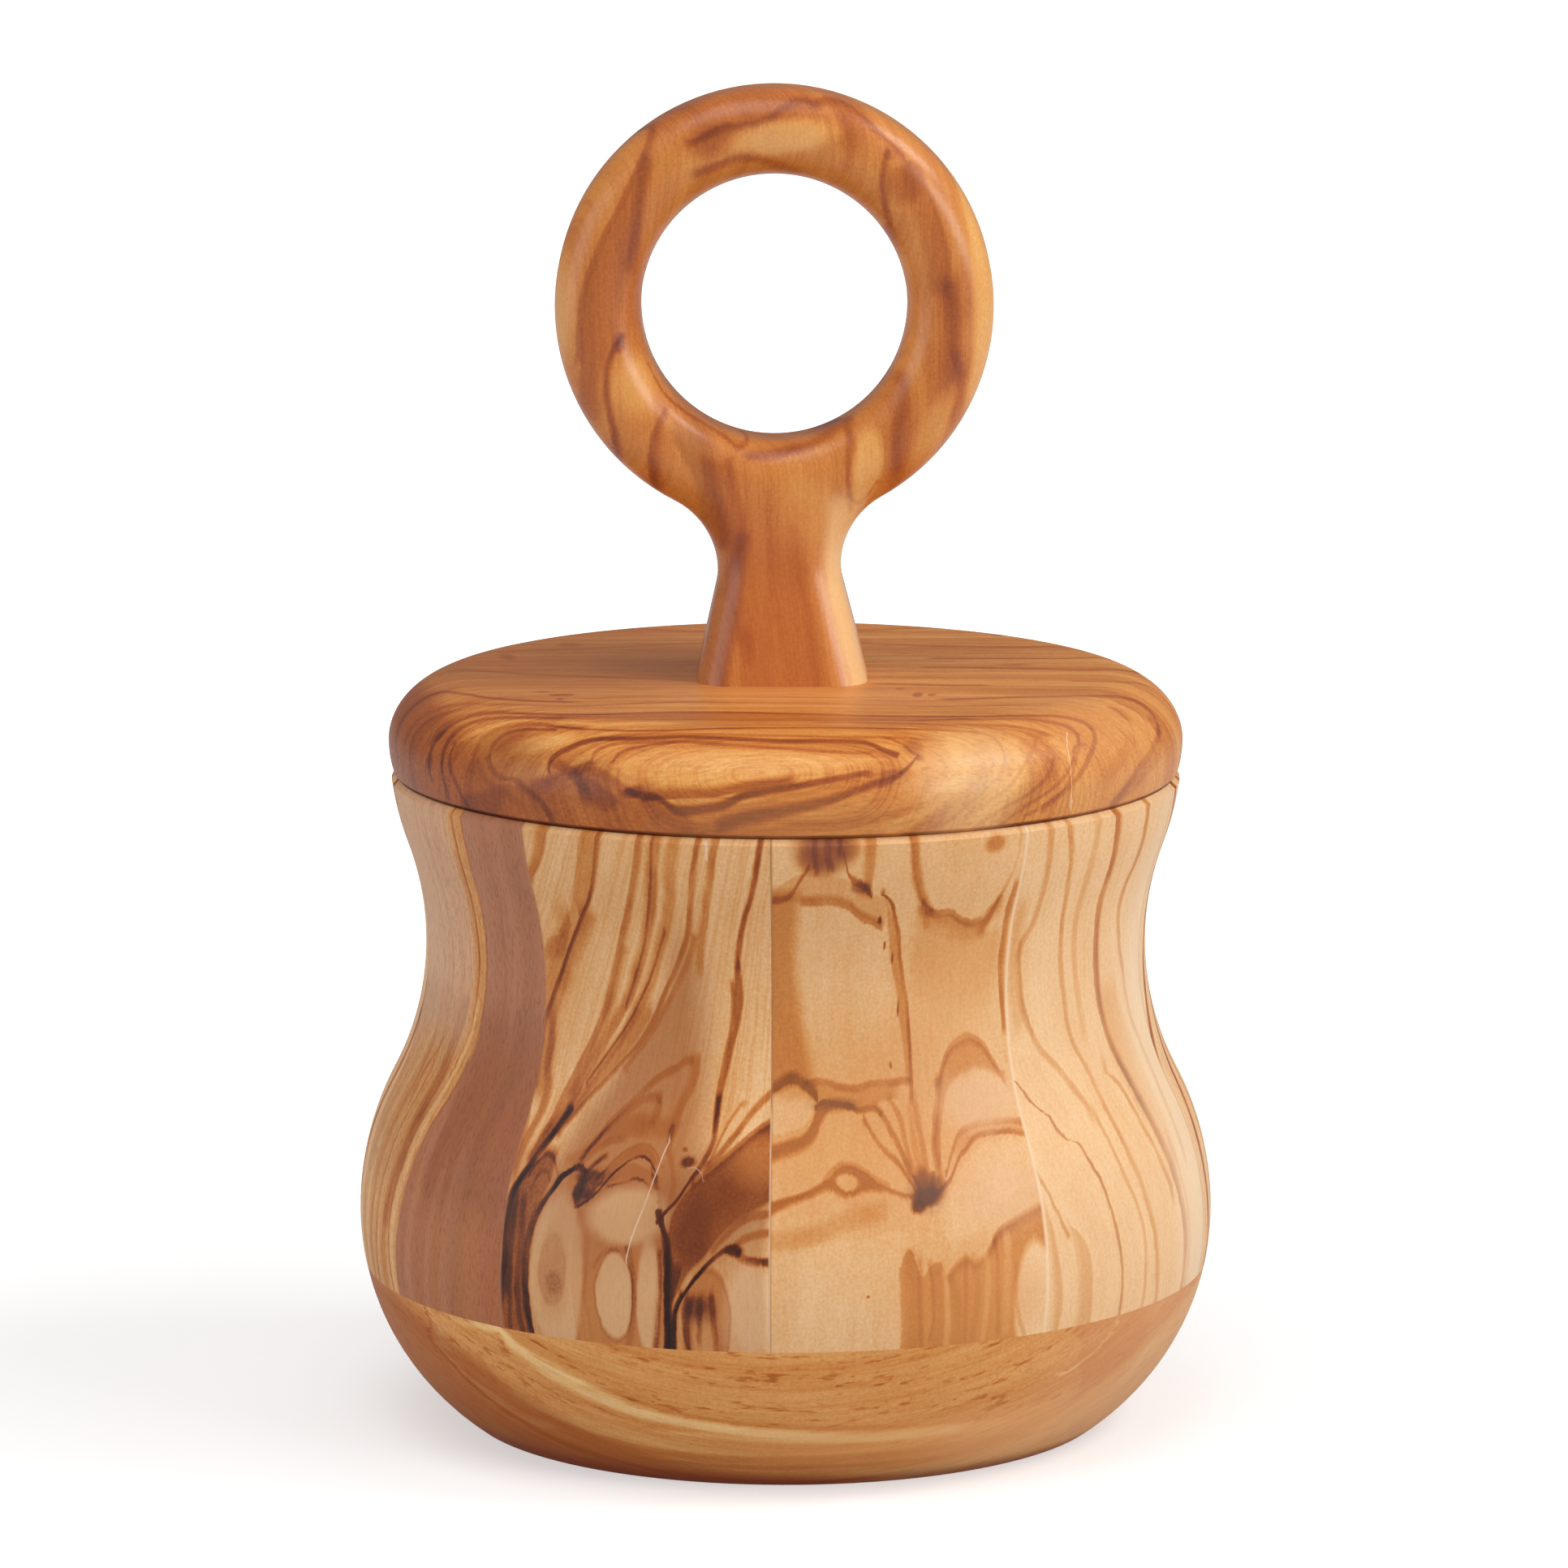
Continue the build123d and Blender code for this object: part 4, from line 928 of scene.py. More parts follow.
baseLook = {
    "fibre": 0.08,
    "streaks": 0.1,
    "strength": 0.9,                 # how dark its marks are
    "dish": 0.0064,                  # how fast a ring rises to the sides, per mm
    "rings": 0.55,
    "fibreSizes": (0.14, 0.4, 2.6),
    "patchSizes": (0.05, 0.08, 0.4),
    "ringSizes": (0.02, 0.03),
    "dashSizes": (0.42, 0.6, 1.9),   # short brown dashes
    "dashLevels": (0.54, 0.7),
    "dashTone": 0.34,
    "dashFrom": (5.5, 10.5),         # heights between which they set in
    "dashRise": 0.06,                # how much lower that is for each mm to the right
    "dashEnd": (36, 32),             # where they end at the right, and up to where they are full
    "groupSizes": (0.07, 0.1, 0.5),  # they come in groups
    "groupShift": 4,
    "groupLevels": (0.38, 0.56),
    "wanderU": (3.0, 1.5),
    "wanderV": (0.8, 0.15),
    "broad": 0.22,
    "fine": 0.04,
    "ground": 0.24,
    "flecks": 0.12,
    "marks": [
        vein(-0.9, (1.0, 1.1), [(-33.5, 18.6), (-32.4, 17.4), (-29, 15), (-25, 13.2), (-20.4, 11.4),
            (-16.7, 10.1), (-12, 9.3), (-7.8, 8.7), (0, 7.9), (7.1, 7.5), (12, 7.3), (18, 7.3)], True, 8),
        vein(-0.4, (0.4, 0.5), [(-10, 7.6), (0, 7.0), (8, 6.9)], True, 8),
        vein(0.16, (0.4, 0.5), [(-20, 12.6), (-12, 10.4), (0, 9.1), (10, 8.8)], True, 8),
        band(0.12, (0.6, 0.8), [(-36, 5), (-27, 1.5), (-15, -1), (0, -2), (15, -1), (30, 2)], [(-36, 15),
            (-32.5, 10.9), (-27.8, 8.3), (-23.2, 6.7), (-18.7, 5.7), (-14.3, 5.2), (-7.2, 4.9), (1, 5),
            (11.6, 5.2), (23, 5.6), (30, 5.8)], True, 5),
        vein(0.16, (0.9, 0.5), [(-27.8, 7.8), (-18.7, 5.2), (-7.2, 4.5), (1, 4.5), (11.6, 4.8),
            (23, 5.4)], True, 6),
        vein(0.14, 0.4, [(-14, 3.2), (-6, 3), (6, 3.2), (16, 3.4)], True, 6),
        vein(0.4, (0.4, 0.5), [(-43, 20), (-42.6, 18.9), (-41.2, 14.6), (-38.7, 11.4), (-35.8, 8.9),
            (-31.5, 6.4), (-27.3, 4.6), (-22, 2.9), (-16.5, 1.6), (-10, 0.9), (0, 0.5),
            (10, 0.8)], True, 3),
        vein(-0.4, (0.3, 0.8), [(-42.4, 20), (-41.4, 17), (-39.6, 13.4), (-37, 10.6), (-33.5, 8.2),
            (-29, 6)], True, 3),
        band(0.1, (1, 1), [(-52, -2), (-44, -2), (-36, -2), (-24, -2), (-10, -2)], [(-52, 20), (-43.4, 19),
            (-38.7, 11), (-27.3, 4.2), (-10, 0.6)], True, 3),
        vein(-0.7, (0.3, 0.4), [(39.8, 19.6), (39, 18.2), (37.1, 15.7), (34.7, 13.9),
            (32.4, 12.8)], True, 2),
        vein(-0.4, (0.8, 0.9), [(43, 13), (42, 11.4), (39, 8.6), (35.4, 6.4), (31.8, 4.6), (27.4, 3.2),
            (21.9, 1.8), (12, 0.4)], True, 3),
        band(0.1, (0.6, 1.6), [(33, 20), (34, 14), (33, 8), (30, 3)], [(43, 20), (42.6, 14), (40, 9),
            (36, 3)]),
        # painted light: a paler lower right, lit from the right and off the floor
        band(-0.5, (1.5, 1.5), [(12, -3), (30, -1), (42, 0), (52, 4)], [(12, 3), (28, 6), (37, 11),
            (52, 20)], True, 10),
    ],
    "tints": [
        # painted light: these three lighten the lower right, where light from the right comes back off the
        # floor
        tint(colour(216, 154, 110), 0.5, oval(1, (42, 10), (12, 13), 0.8)),
        tint(colour(232, 164, 98), 0.5, oval(1, (14, 6), (18, 3.6), 1.1)),
        tint(colour(240, 180, 126), 0.45, oval(1, (29, 5), (12, 5), 1.1)),
        # painted shade, in the wood's deep orange: these two darken the lower left and the bottom edge
        tint(colour(170, 84, 10), 0.7, band(1, (3, 3), [(-54, -4), (-44, -4), (-30, -4), (0, -4)],
            [(-54, 22), (-42, 18), (-36, 14.5), (-30, 11.5), (-22, 7.6), (-10, 4), (0, 2.6)], True, 10)),
        tint(colour(162, 62, 4), 0.74, band(1, (3, 2), [(-30, -4), (0, -4), (30, -4)], [(-30, 3), (0, 2.4),
            (30, 2)], True, 10)),
    ],
}

baseTones = [
    (0.00, colour(248, 208, 146)),
    (0.18, colour(233, 174, 106)),
    (0.34, colour(213, 137, 67)),
    (0.50, colour(188, 104, 42)),
    (0.68, colour(152, 72, 26)),
    (1.00, colour(70, 32, 16)),
]


def baseWood(look):
    made, (x, y, z) = newWood("baseWood")
    ring = z - x * x * look["dish"]
    streaks = stretched(x, y, ring, look["fibreSizes"])
    figure = Figure(x, z, 1.0, streaks, stretched(x, y, ring, look["patchSizes"]), look)
    second, third = look["ringSizes"]
    figure.grow(ring * look["rings"], x * second, y * third)
    dashes = noise(stretched(x, y, ring, look["dashSizes"]))
    wide, deep, tall = look["groupSizes"]
    groups = noise(vector(x * wide, y * deep, ring * tall + look["groupShift"]), 1.0, 1.0)
    upper = smooth(z + x * look["dashRise"], *look["dashFrom"]) * smooth(x, *look["dashEnd"])
    dashes = smooth(dashes, *look["dashLevels"]) * smooth(groups, *look["groupLevels"])
    figure.shade(dashes * upper, look["dashTone"])
    return figure.paint(made, baseTones, warmOil)


nodes["base_disc"].material_slots[0].material = baseWood(baseLook)
print("base finished")


# Lid: a flat-sawn board, grain from left to right. Its figure is drawn as if its round edge were
# flattened outwards in the plane of the top, in millimetres to the right and to the back.

lidLook = {
    "fibre": 0.18,
    "streaks": 0.2,
    "strength": 0.72,                # how dark its marks are
    "top": 89.4,                     # height of the flat top
    "steady": 30.0,                  # inside this radius the flattening is even
    "heart": (-3.0, -50.0, 2.4),     # middle of the rings, and how many times longer than tall they are
    "rings": 0.5,
    "fibreSizes": (0.22, 2.4, 2.4),
    "patchSizes": (0.045, 0.09, 0.09),
    "joint": (77.4, 77.7, 78.1, 78.5),           # heights of a painted shadow on its lower edge, in the gap over the pot
    "jointShadowTone": 0.9,
    "wanderU": (1.6, 0.25),
    "wanderV": (0.7, 0.14),
    "sway": (1.6, 0.5),              # how far the rings stray to the side, and what share of it up
    "squareness": 3,                 # 2 makes the rings round, more makes them squarer
    "ringSizes": (0.012, 0.02),
    "broad": 0.38,
    "fine": 0.11,
    "ground": 0.24,
    "flecks": 0.08,
    "marks": [
        # left end, from the back to the front
        vein(0.55, (0.8, 1.0), [(-53, -14), (-50, -10.4), (-46.7, -9.6), (-44.7, -9.2), (-42.7, -9.3),
            (-40.7, -10.3), (-39, -12.3), (-37, -14.7), (-35.3, -17), (-33.3, -18.5), (-31, -19.5),
            (-28.7, -20.2), (-26, -20.8)], True, 3),
        vein(0.25, (2.4, 0.6), [(-53, -12), (-48, -9), (-44, -8.8), (-41, -9.8)], True, 3),
        vein(0.3, 0.9, [(-51, -17), (-49, -16), (-45, -15.8), (-41.3, -16.6), (-38.7, -18), (-36.7, -19.1),
            (-34.7, -20.7), (-32, -22.1), (-29.3, -23.1), (-26.7, -23.6), (-23.3, -23.5), (-20, -22.7),
            (-16.7, -21.8), (-13.3, -21.2), (-10, -20.9), (0, -21.8), (6.7, -22.4), (11.7, -23.2),
            (16.7, -23.7), (21.7, -23.5), (26, -23)], True, 6),
        vein(0.36, (0.9, 0.8), [(-52, -21), (-50, -19.2), (-48, -18.4), (-45, -18.1), (-42.7, -18.7),
            (-39, -20)], True, 4),
        # the crisp double line
        vein(0.55, (0.7, 0.8), [(-48.7, -27), (-47.7, -25.7), (-45.3, -24.3), (-43.3, -23.7),
            (-41.3, -23.2), (-38.7, -23.2), (-36, -24), (-34, -24.9), (-32, -26.2), (-30, -27.5),
            (-28, -28.5), (-25.3, -29.3), (-22, -29.4), (-18.7, -28.9), (-15.3, -28.3), (-12, -28),
            (-6.7, -28.1), (0, -28.9), (5, -29.6), (10, -30.4), (15, -30.9), (20, -30.9), (23.3, -30.7),
            (26, -29.8), (28.7, -28.8), (31, -27.8), (33.3, -27.2), (35.3, -27.1), (37, -27.8)], True, 0.6),
        vein(0.34, 0.6, [(-45.4, -23.4), (-42, -22.2), (-40, -22.1), (-38, -22.5), (-36, -23.2),
            (-33, -24.8)], True, 2),
        oval(0.5, (-43.6, -23.8), (1.4, 0.7), 1.0),
        oval(0.55, (-47.6, -25.6), (1.2, 0.9), 1.0),
        vein(0.5, (0.9, 0.7), [(-47.4, -31), (-45.3, -28.3), (-43.3, -26.7), (-41.3, -25.7), (-39.3, -25.3),
            (-36.7, -25.7), (-34, -26.7), (-31.7, -28), (-29.3, -29.3), (-26.7, -30.6)], True, 2),
        band(0.26, (0.6, 0.5), [(-30, -29.5), (-26.7, -30.9), (-24.7, -32), (-22, -32.9), (-18.7, -33.3),
            (-13.3, -33.8), (0, -34.3), (12, -34), (20, -33.4)], [(-30, -27.8), (-25.3, -29.3),
            (-18.7, -28.9), (-12, -28), (0, -28.9), (10, -30.4), (20, -30.9)], True, 4),
        band(-0.4, (0.5, 0.6), [(-42, -28.4), (-36.7, -29.4), (-32, -29.6), (-28, -31.6), (-25, -33.6),
            (-21.7, -35.4), (-14, -36.6)], [(-42, -27.2), (-36.7, -27.6), (-32, -28.6), (-28, -30.9),
            (-25, -32.2), (-21.7, -33.4), (-14, -34.4)], True, 3),
        vein(0.4, (0.5, 0.6), [(-45.6, -36), (-45.1, -33), (-44.6, -31), (-43.7, -29.3), (-41.7, -28)]),
        # line that starts brown and runs thin to the front middle
        vein(0.36, (1.0, 0.9), [(-41, -34), (-40, -32.7), (-38.7, -31.4), (-36.7, -30.4), (-34, -30.1),
            (-31.7, -30.5), (-29.3, -31.7), (-26.7, -33.7), (-24, -35.3)], True, 1.5),
        vein(0.5, (0.5, 0.45), [(-27.5, -33), (-24, -35.3), (-21.3, -36.6), (-18.7, -37.6), (-16, -38.2),
            (-13.3, -38.6), (-9.3, -38.5), (-5, -38.3), (0, -38.3), (6.7, -38.2), (13.3, -38),
            (18.3, -37.5), (22, -37)], True, 1.5),
        vein(0.2, (1.4, 0.4), [(-14, -37), (-8, -36.6), (0, -36.4), (8, -36.6), (18, -36)], True, 4),
        # purple line round the left eye
        vein(0.6, 0.65, [(-37.9, -36.4), (-37.8, -35.3), (-37, -33.7), (-35.7, -32.5), (-33.7, -31.8),
            (-31.3, -32.2), (-29.3, -33.3), (-27.3, -34.3)], True, 0.5),
        vein(0.6, (0.6, 0.8), [(-37.9, -34.6), (-38.2, -37), (-37.4, -39), (-35.8, -40.3), (-35, -42.3),
            (-33.9, -44.3), (-33.2, -47)]),
        vein(0.3, 0.8, [(-39.6, -34), (-40, -37), (-38.6, -40), (-37, -43)]),
        oval(0.36, (-33.4, -34), (3.0, 1.5), 1.0, None, 12),
        oval(-0.55, (-29.6, -36.6), (4.6, 1.7), 0.9, None, -14),
        oval(0.36, (-32, -43.4), (2.4, 1.0), 1.2),
        # brown ground of the left front
        band(0.42, (1.2, 1.5), [(-46, -44), (-38, -50), (-28, -56), (-14, -61)], [(-46, -33), (-38, -39),
            (-31, -42), (-25, -43), (-19.5, -49.5), (-14, -53)], True, 2),
        band(0.48, (1.5, 5.0), [(-58, 6), (-58, -10), (-56, -22), (-52, -40)], [(-44, 6), (-40, -10),
            (-38, -22), (-36, -40)]),
        vein(0.7, (0.9, 0.8), [(-30, -42), (-29.5, -40.9), (-28, -39.9), (-26, -39.3), (-24, -38.8),
            (-22, -38.9), (-20, -39.5), (-17.3, -40.2), (-14.7, -40.5), (-12, -40.8), (-8, -41.7),
            (-3.3, -42.6), (0, -43), (5, -42.8), (9, -42.8), (10.3, -43.3), (11.3, -44.2),
            (13.4, -45.1)], True, 0.4),
        vein(0.3, 0.6, [(-20, -38.8), (-14, -39.6), (-6.7, -40.8), (0, -41.4), (5, -41.7), (9, -41.4),
            (12.7, -41), (16.4, -40.8)], True, 2),
        band(0.4, (0.8, 0.9), [(-29.8, -41.6), (-28.4, -44), (-27.2, -48), (-25, -51)], [(-27.6, -40.4),
            (-26, -43.6), (-24.8, -46), (-22, -50)]),
        oval(0.5, (-25.8, -44), (2.2, 0.9), 1.1, None, 10),
        oval(0.5, (-26.8, -47), (0.8, 2.0), 1.1),
        vein(0.34, 0.6, [(-24, -43.4), (-23, -41.7), (-20.7, -40.8), (-16.7, -41.4), (-12, -42),
            (-8, -43)], True, 1.5),
        vein(0.36, 0.5, [(-21.4, -44.4), (-19.7, -42.8), (-16.7, -42.3), (-11.7, -42.5), (-9, -43.3),
            (-5, -44.2), (0, -45), (3.3, -45.3), (6.7, -45.5), (10, -45.3)], True, 0.8),
        # the pale middle of the front, and the dark lines under it
        band(-0.3, (1.6, 0.8), [(-21.4, -46), (-20.3, -48), (-18.3, -49.4), (-15, -51), (-10.7, -52),
            (-6.7, -52.3), (-3.3, -51.8), (0, -51), (5, -49.8), (9, -48.6), (14, -46.4)], [(-21.4, -46),
            (-20.3, -44.3), (-18.7, -43.7), (-10, -43.7), (-5.3, -44.7), (0, -45.2), (5, -45.7), (9, -45.8),
            (14, -46)], True, 0.3),
        vein(0.8, (0.8, 0.8), [(-20.7, -49.7), (-19.3, -50.6), (-17, -51.7), (-15, -53.5), (-12.7, -54.1),
            (-10, -54.3), (-8, -54.1), (-6, -53.4), (-3.3, -53), (0, -52.5), (2, -52), (4.3, -51.3),
            (6.7, -50.5), (9.7, -49.3)], True, 1.5),
        vein(0.5, (0.4, 1.6), [(-18, -51.4), (-14, -52.2), (-10, -52.8), (-5, -52.4), (0, -51.8)], True, 2),
        oval(0.6, (-20, -49.9), (1.4, 0.7), 0.9),
        vein(0.62, (0.9, 1.0), [(-9, -56.2), (-6.7, -56), (0, -55.3), (3.3, -54.6), (6, -53.7),
            (8.7, -52.3), (11, -51), (13.3, -49.7), (14.9, -47.6), (15.8, -45)], True, 1.5),
        band(0.26, (0.6, 0.8), [(-12, -57.5), (0, -56.4), (8, -53.4), (14, -49)], [(-12, -54.6), (0, -52.8),
            (8, -50.2), (14, -47)], True, 3),
        vein(0.3, 0.7, [(-14, -56), (-6, -57.4), (4, -56.8), (10, -55.7), (16.7, -53), (20, -50.7),
            (23, -47)], True, 3),
        oval(0.4, (15.2, -42.8), (1.2, 1.7), 1.1),
        vein(0.34, 0.5, [(12, -41.4), (13.8, -42.6), (15.2, -44.4)], True),
        # right front: broad runs and fine lines that go down to the rim
        vein(0.24, (2.0, 1.6), [(30.5, -35), (33.5, -37.8), (33.4, -42.7), (31.5, -47.5)], fade=3),
        vein(-0.45, (1.6, 1.4), [(27.2, -38.1), (29.8, -41.7), (28.7, -46.9), (26.1, -51.1)], fade=3),
        vein(0.26, (1.6, 1.2), [(23.6, -40), (25.3, -43.7), (23.6, -49.5), (20.4, -53.2)], fade=3),
        vein(-0.45, (2.0, 1.6), [(20, -41), (22, -45), (20, -50.8), (15.3, -55.3)], fade=3),
        vein(0.3, (1.2, 1.2), [(45.6, -16.6), (48.7, -18.2), (49, -25), (47, -32.9)], fade=3),
        vein(0.42, (0.5, 0.5), [(22, -37), (23.7, -37.3), (25, -38), (26.3, -39.7),
            (27.1, -41.4)], True, 0.5),
        vein(0.3, 0.45, [(27.1, -41), (27.3, -44), (26.3, -46.6), (24.4, -50), (22, -53)]),
        vein(0.22, 0.4, [(30.4, -36), (30.2, -40), (29.4, -44.6), (27.4, -48), (25, -51)]),
        vein(0.3, 0.4, [(33.6, -38), (33.8, -41), (32.4, -44.4), (29.4, -48), (26, -52)]),
        vein(0.34, 0.4, [(36, -34), (36.4, -38), (35.2, -42), (33, -45.4), (30.4, -49)]),
        vein(0.3, 0.4, [(37, -36), (37.2, -40), (36, -43), (33.4, -46.4)]),
        vein(0.16, 0.4, [(21.6, -42), (21.8, -45), (20.8, -48)]),
        vein(0.46, (0.6, 0.6), [(37.3, -28), (38.2, -29.6), (38.7, -32), (38.8, -34.5), (38.5, -37),
            (37.5, -40.3), (35.6, -44)], fade=0.8),
        vein(0.36, (0.8, 0.7), [(16, -33.4), (20, -32.7), (23.3, -32), (26, -31), (28.7, -30.2),
            (31.7, -29.7), (34, -29.8), (35.4, -30.7), (36.3, -32.4)], True, 2),
        vein(0.26, 0.5, [(35.6, -31), (36.6, -34), (36.6, -37)]),
        vein(0.34, (0.8, 0.5), [(4, -34.8), (10, -35.2), (15, -35.5), (20, -35.2), (23.3, -34.3),
            (26, -33.5), (28.7, -33.2), (31.4, -33.4)], True, 1.5),
        vein(0.2, 0.4, [(20, -36.4), (24, -35.2), (28, -34.4), (30, -34.8)], True),
        # right end
        vein(0.4, (1.3, 0.6), [(19, -18.5), (23.3, -17.9), (26.7, -17.1), (30, -16.6), (33.3, -16.3),
            (36, -15.7), (38.3, -14.3), (40.7, -13.2), (43, -12.8), (45, -13.3), (46.7, -14.6),
            (47.7, -16.4)], True, 1.5),
        vein(0.46, (0.8, 0.9), [(47.5, -15.4), (48, -18), (47.9, -20.3), (48, -22), (47.8, -24.3),
            (47.3, -26.7), (47.3, -29.3), (47.1, -34)], fade=1),
        oval(0.3, (40.6, -20), (2.0, 1.0), 1.2, None, -20),
        vein(0.3, 0.5, [(39, -19.4), (41.3, -20.6), (43, -22.4), (44, -24.4)], True),
        vein(0.22, 0.5, [(40, -16.8), (42.4, -16.6), (44.4, -17.6), (45.6, -20)], True),
        vein(0.16, 1.6, [(43.4, -24), (43.6, -29), (43, -34)]),
        vein(0.3, 0.8, [(34, -6), (37, -6.1), (39.4, -5.5), (42.5, -3), (45.6, -1.1), (48.1, -2.4),
            (50, -5)], True),
        # the flat of the top
        vein(0.2, (0.9, 0.7), [(-22, -18.4), (-20, -17.2), (-15, -16.6), (-10, -16.4), (-5, -16.4),
            (0, -17), (5, -17.8), (10, -19.2), (15, -19.8), (20, -19.6)], True, 3),
        vein(0.34, 0.8, [(11, -8), (13.1, -8.1), (17, -8.6), (20, -8.9), (23, -8.8)], True, 1.5),
        vein(0.3, (0.8, 1.2), [(8, 22.8), (15, 20.8), (22.5, 19.5), (28.8, 19.2), (33, 19.6)], True, 2),
        vein(0.4, 0.8, [(18, 10.8), (27.5, 10.8), (33.8, 10.8), (37.5, 12), (39.4, 15.1)], True, 1.5),
        vein(0.36, 0.7, [(39.4, 14), (40, 19.5), (39.7, 24.5), (38.1, 29.5), (35, 35.1), (30.6, 40.8),
            (27, 46)]),
        vein(0.34, (1.2, 0.8), [(17, 4.3), (24.4, 3.9), (30, 3.3), (35, 2.6), (39.4, 3.3),
            (42.5, 6.4)], True, 1.5),
        vein(0.34, 0.9, [(42.6, 6), (44.1, 10.8), (44.4, 15.1), (43.4, 20.8), (41.3, 26.4), (37.5, 33.9),
            (33.8, 40.1), (29, 48)]),
        vein(0.4, 0.6, [(50.6, 8), (47.5, 15.8), (45.6, 21.4), (42.5, 29), (39, 37), (34, 45)]),
        vein(0.3, 1.0, [(54, 6), (50, 15), (46.6, 24), (43, 33), (39.4, 40), (34, 48)]),
        # painted shadow: a soft dark line where the stem's shadow falls to the left across the top
        vein(0.3, (1.0, 0.8), [(-40, 3), (-34, 0.6), (-28, -1.6), (-20, -3.4), (-12, -5)], True, 4),
        vein(0.24, 1.2, [(-38, 14), (-32, 16.6), (-24, 18), (-14, 21.6), (-6, 22.6), (8, 22.8)], True, 3),
        vein(0.36, 0.8, [(-56, 10), (-51, 16), (-48, 21), (-45, 30), (-41, 36), (-36, 42), (-30, 49)]),
        vein(0.3, 1.0, [(-52, 10), (-47, 16), (-43.4, 23), (-40, 30), (-36, 36), (-31, 42)]),
        vein(0.26, 0.8, [(-42, 12), (-39, 20), (-36.4, 27), (-33, 33), (-28, 39)]),
        vein(0.3, 1.2, [(-24, 46), (-12, 42.4), (0, 41), (12, 42), (24, 46)], True, 4),
        vein(0.34, 1.0, [(-24, 52), (-12, 48.4), (0, 47), (12, 47.6), (24, 51)], True, 4),
        vein(0.24, 1.4, [(-22, 34), (-10, 31.6), (2, 31), (12, 33), (22, 36)], True, 4),
        oval(0.5, (-25.9, -15.8), (1.1, 0.9), 0.8),
        oval(0.6, (-27.2, -16), (0.6, 0.6), 0.9),
        oval(0.3, (-28.7, -13.7), (1.0, 0.8), 1.0),
        oval(0.5, (-26.3, -18.8), (0.5, 0.8), 0.9),
        oval(0.6, (15.5, -15.7), (0.55, 1.5), 0.8),
        oval(0.5, (17.1, -15.7), (0.45, 0.9), 0.9),
        oval(0.3, (13.4, -11.4), (0.5, 0.9), 1.0),
        oval(0.3, (-26, 21), (1.4, 1.8), 1.0),
        oval(0.36, (-33.6, 12), (1.0, 2.4), 1.0, None, 12),
        oval(0.3, (26, 30), (1.0, 2.6), 1.0),
        oval(0.24, (27.4, 6), (2.2, 0.8), 1.0),
    ],
    "tints": [
        tint(colour(84, 40, 36), 0.24, oval(1, (-26, -45.5), (3.4, 3.6), 1.2),
            oval(1, (-33.6, -44), (2.6, 3.4), 1.2), oval(1, (13.6, -49.4), (2.2, 1.2), 1.2)),
        tint(colour(150, 78, 36), 0.5, oval(1, (-35.6, -37.5), (7, 5.4), 1.2, None, -42)),
        tint(colour(122, 60, 34), 0.4, oval(1, (-53, -10), (8, 22), 1.2)),
        tint(colour(164, 88, 44), 0.5, oval(1, (-28, 10), (24, 28), 1.2)),
        tint(colour(226, 156, 96), 0.3, oval(1, (2, -17), (16, 7), 1.2)),
        # painted highlight: a whitish soft sheen on the lid's right front
        tint(colour(230, 180, 136), 0.4, oval(1, (24, -47), (6, 8), 1.2)),
        tint(colour(226, 164, 108), 0.3, oval(1, (43, -30), (12, 16), 1.2, None, 45)),
        tint(colour(214, 142, 84), 0.3, oval(1, (6, -58), (30, 5), 1.2)),
        tint(colour(240, 190, 122), 0.45, oval(1, (24, -44), (7, 8), 1.2)),
        tint(colour(250, 214, 178), 0.6, vein(1, 0.1, [(34, -31.3), (36.3, -37), (39.6, -40.8)], fade=0.4),
            oval(1, (39.4, -40.5), (0.9, 0.22), 0.6, None, -32)),
    ],
}

warmTones = [
    (0.00, colour(243, 192, 122)),
    (0.16, colour(229, 161, 84)),
    (0.32, colour(211, 132, 58)),
    (0.48, colour(186, 101, 38)),
    (0.64, colour(152, 73, 28)),
    (0.80, colour(106, 46, 22)),
    (1.00, colour(52, 24, 16)),
]


def lidWood(look):
    made, (x, y, z) = newWood("lidWood")
    out = (x * x + y * y) ** 0.5
    stretch = (look["top"] - z) / out.maths("MAXIMUM", out, look["steady"]) + 1
    flatX, flatY = x * stretch, y * stretch
    streaks = stretched(x, y, z, look["fibreSizes"])
    figure = Figure(flatX, flatY, 1.0, streaks, stretched(x, y, z, look["patchSizes"]), look)
    heartX, heartY, longer = look["heart"]
    sway = (figure.drift - 0.5) * look["sway"][0]
    wide = (flatX + sway - heartX) / longer
    tall = flatY + sway * look["sway"][1] - heartY
    power = look["squareness"]
    swell = (wide.maths("ABSOLUTE", wide) ** power + tall.maths("ABSOLUTE", tall) ** power) ** (1 / power)
    second, third = look["ringSizes"]
    figure.grow(swell * look["rings"], x * second, z * third)
    low, lowFull, highFull, high = look["joint"]
    # painted shadow: darkens the lid's lower edge, where the gap over the pot is in shade
    figure.shade(smooth(z, high, highFull) * smooth(z, low, lowFull), look["jointShadowTone"])
    return figure.paint(made, warmTones, lidOil)


nodes["lid"].material_slots[0].material = lidWood(lidLook)
print("lid finished")


# Ring handle and dowel: upright grain. The figure is drawn as seen from the front, in millimetres
# to the right and up, and runs a little aslant through the thickness.

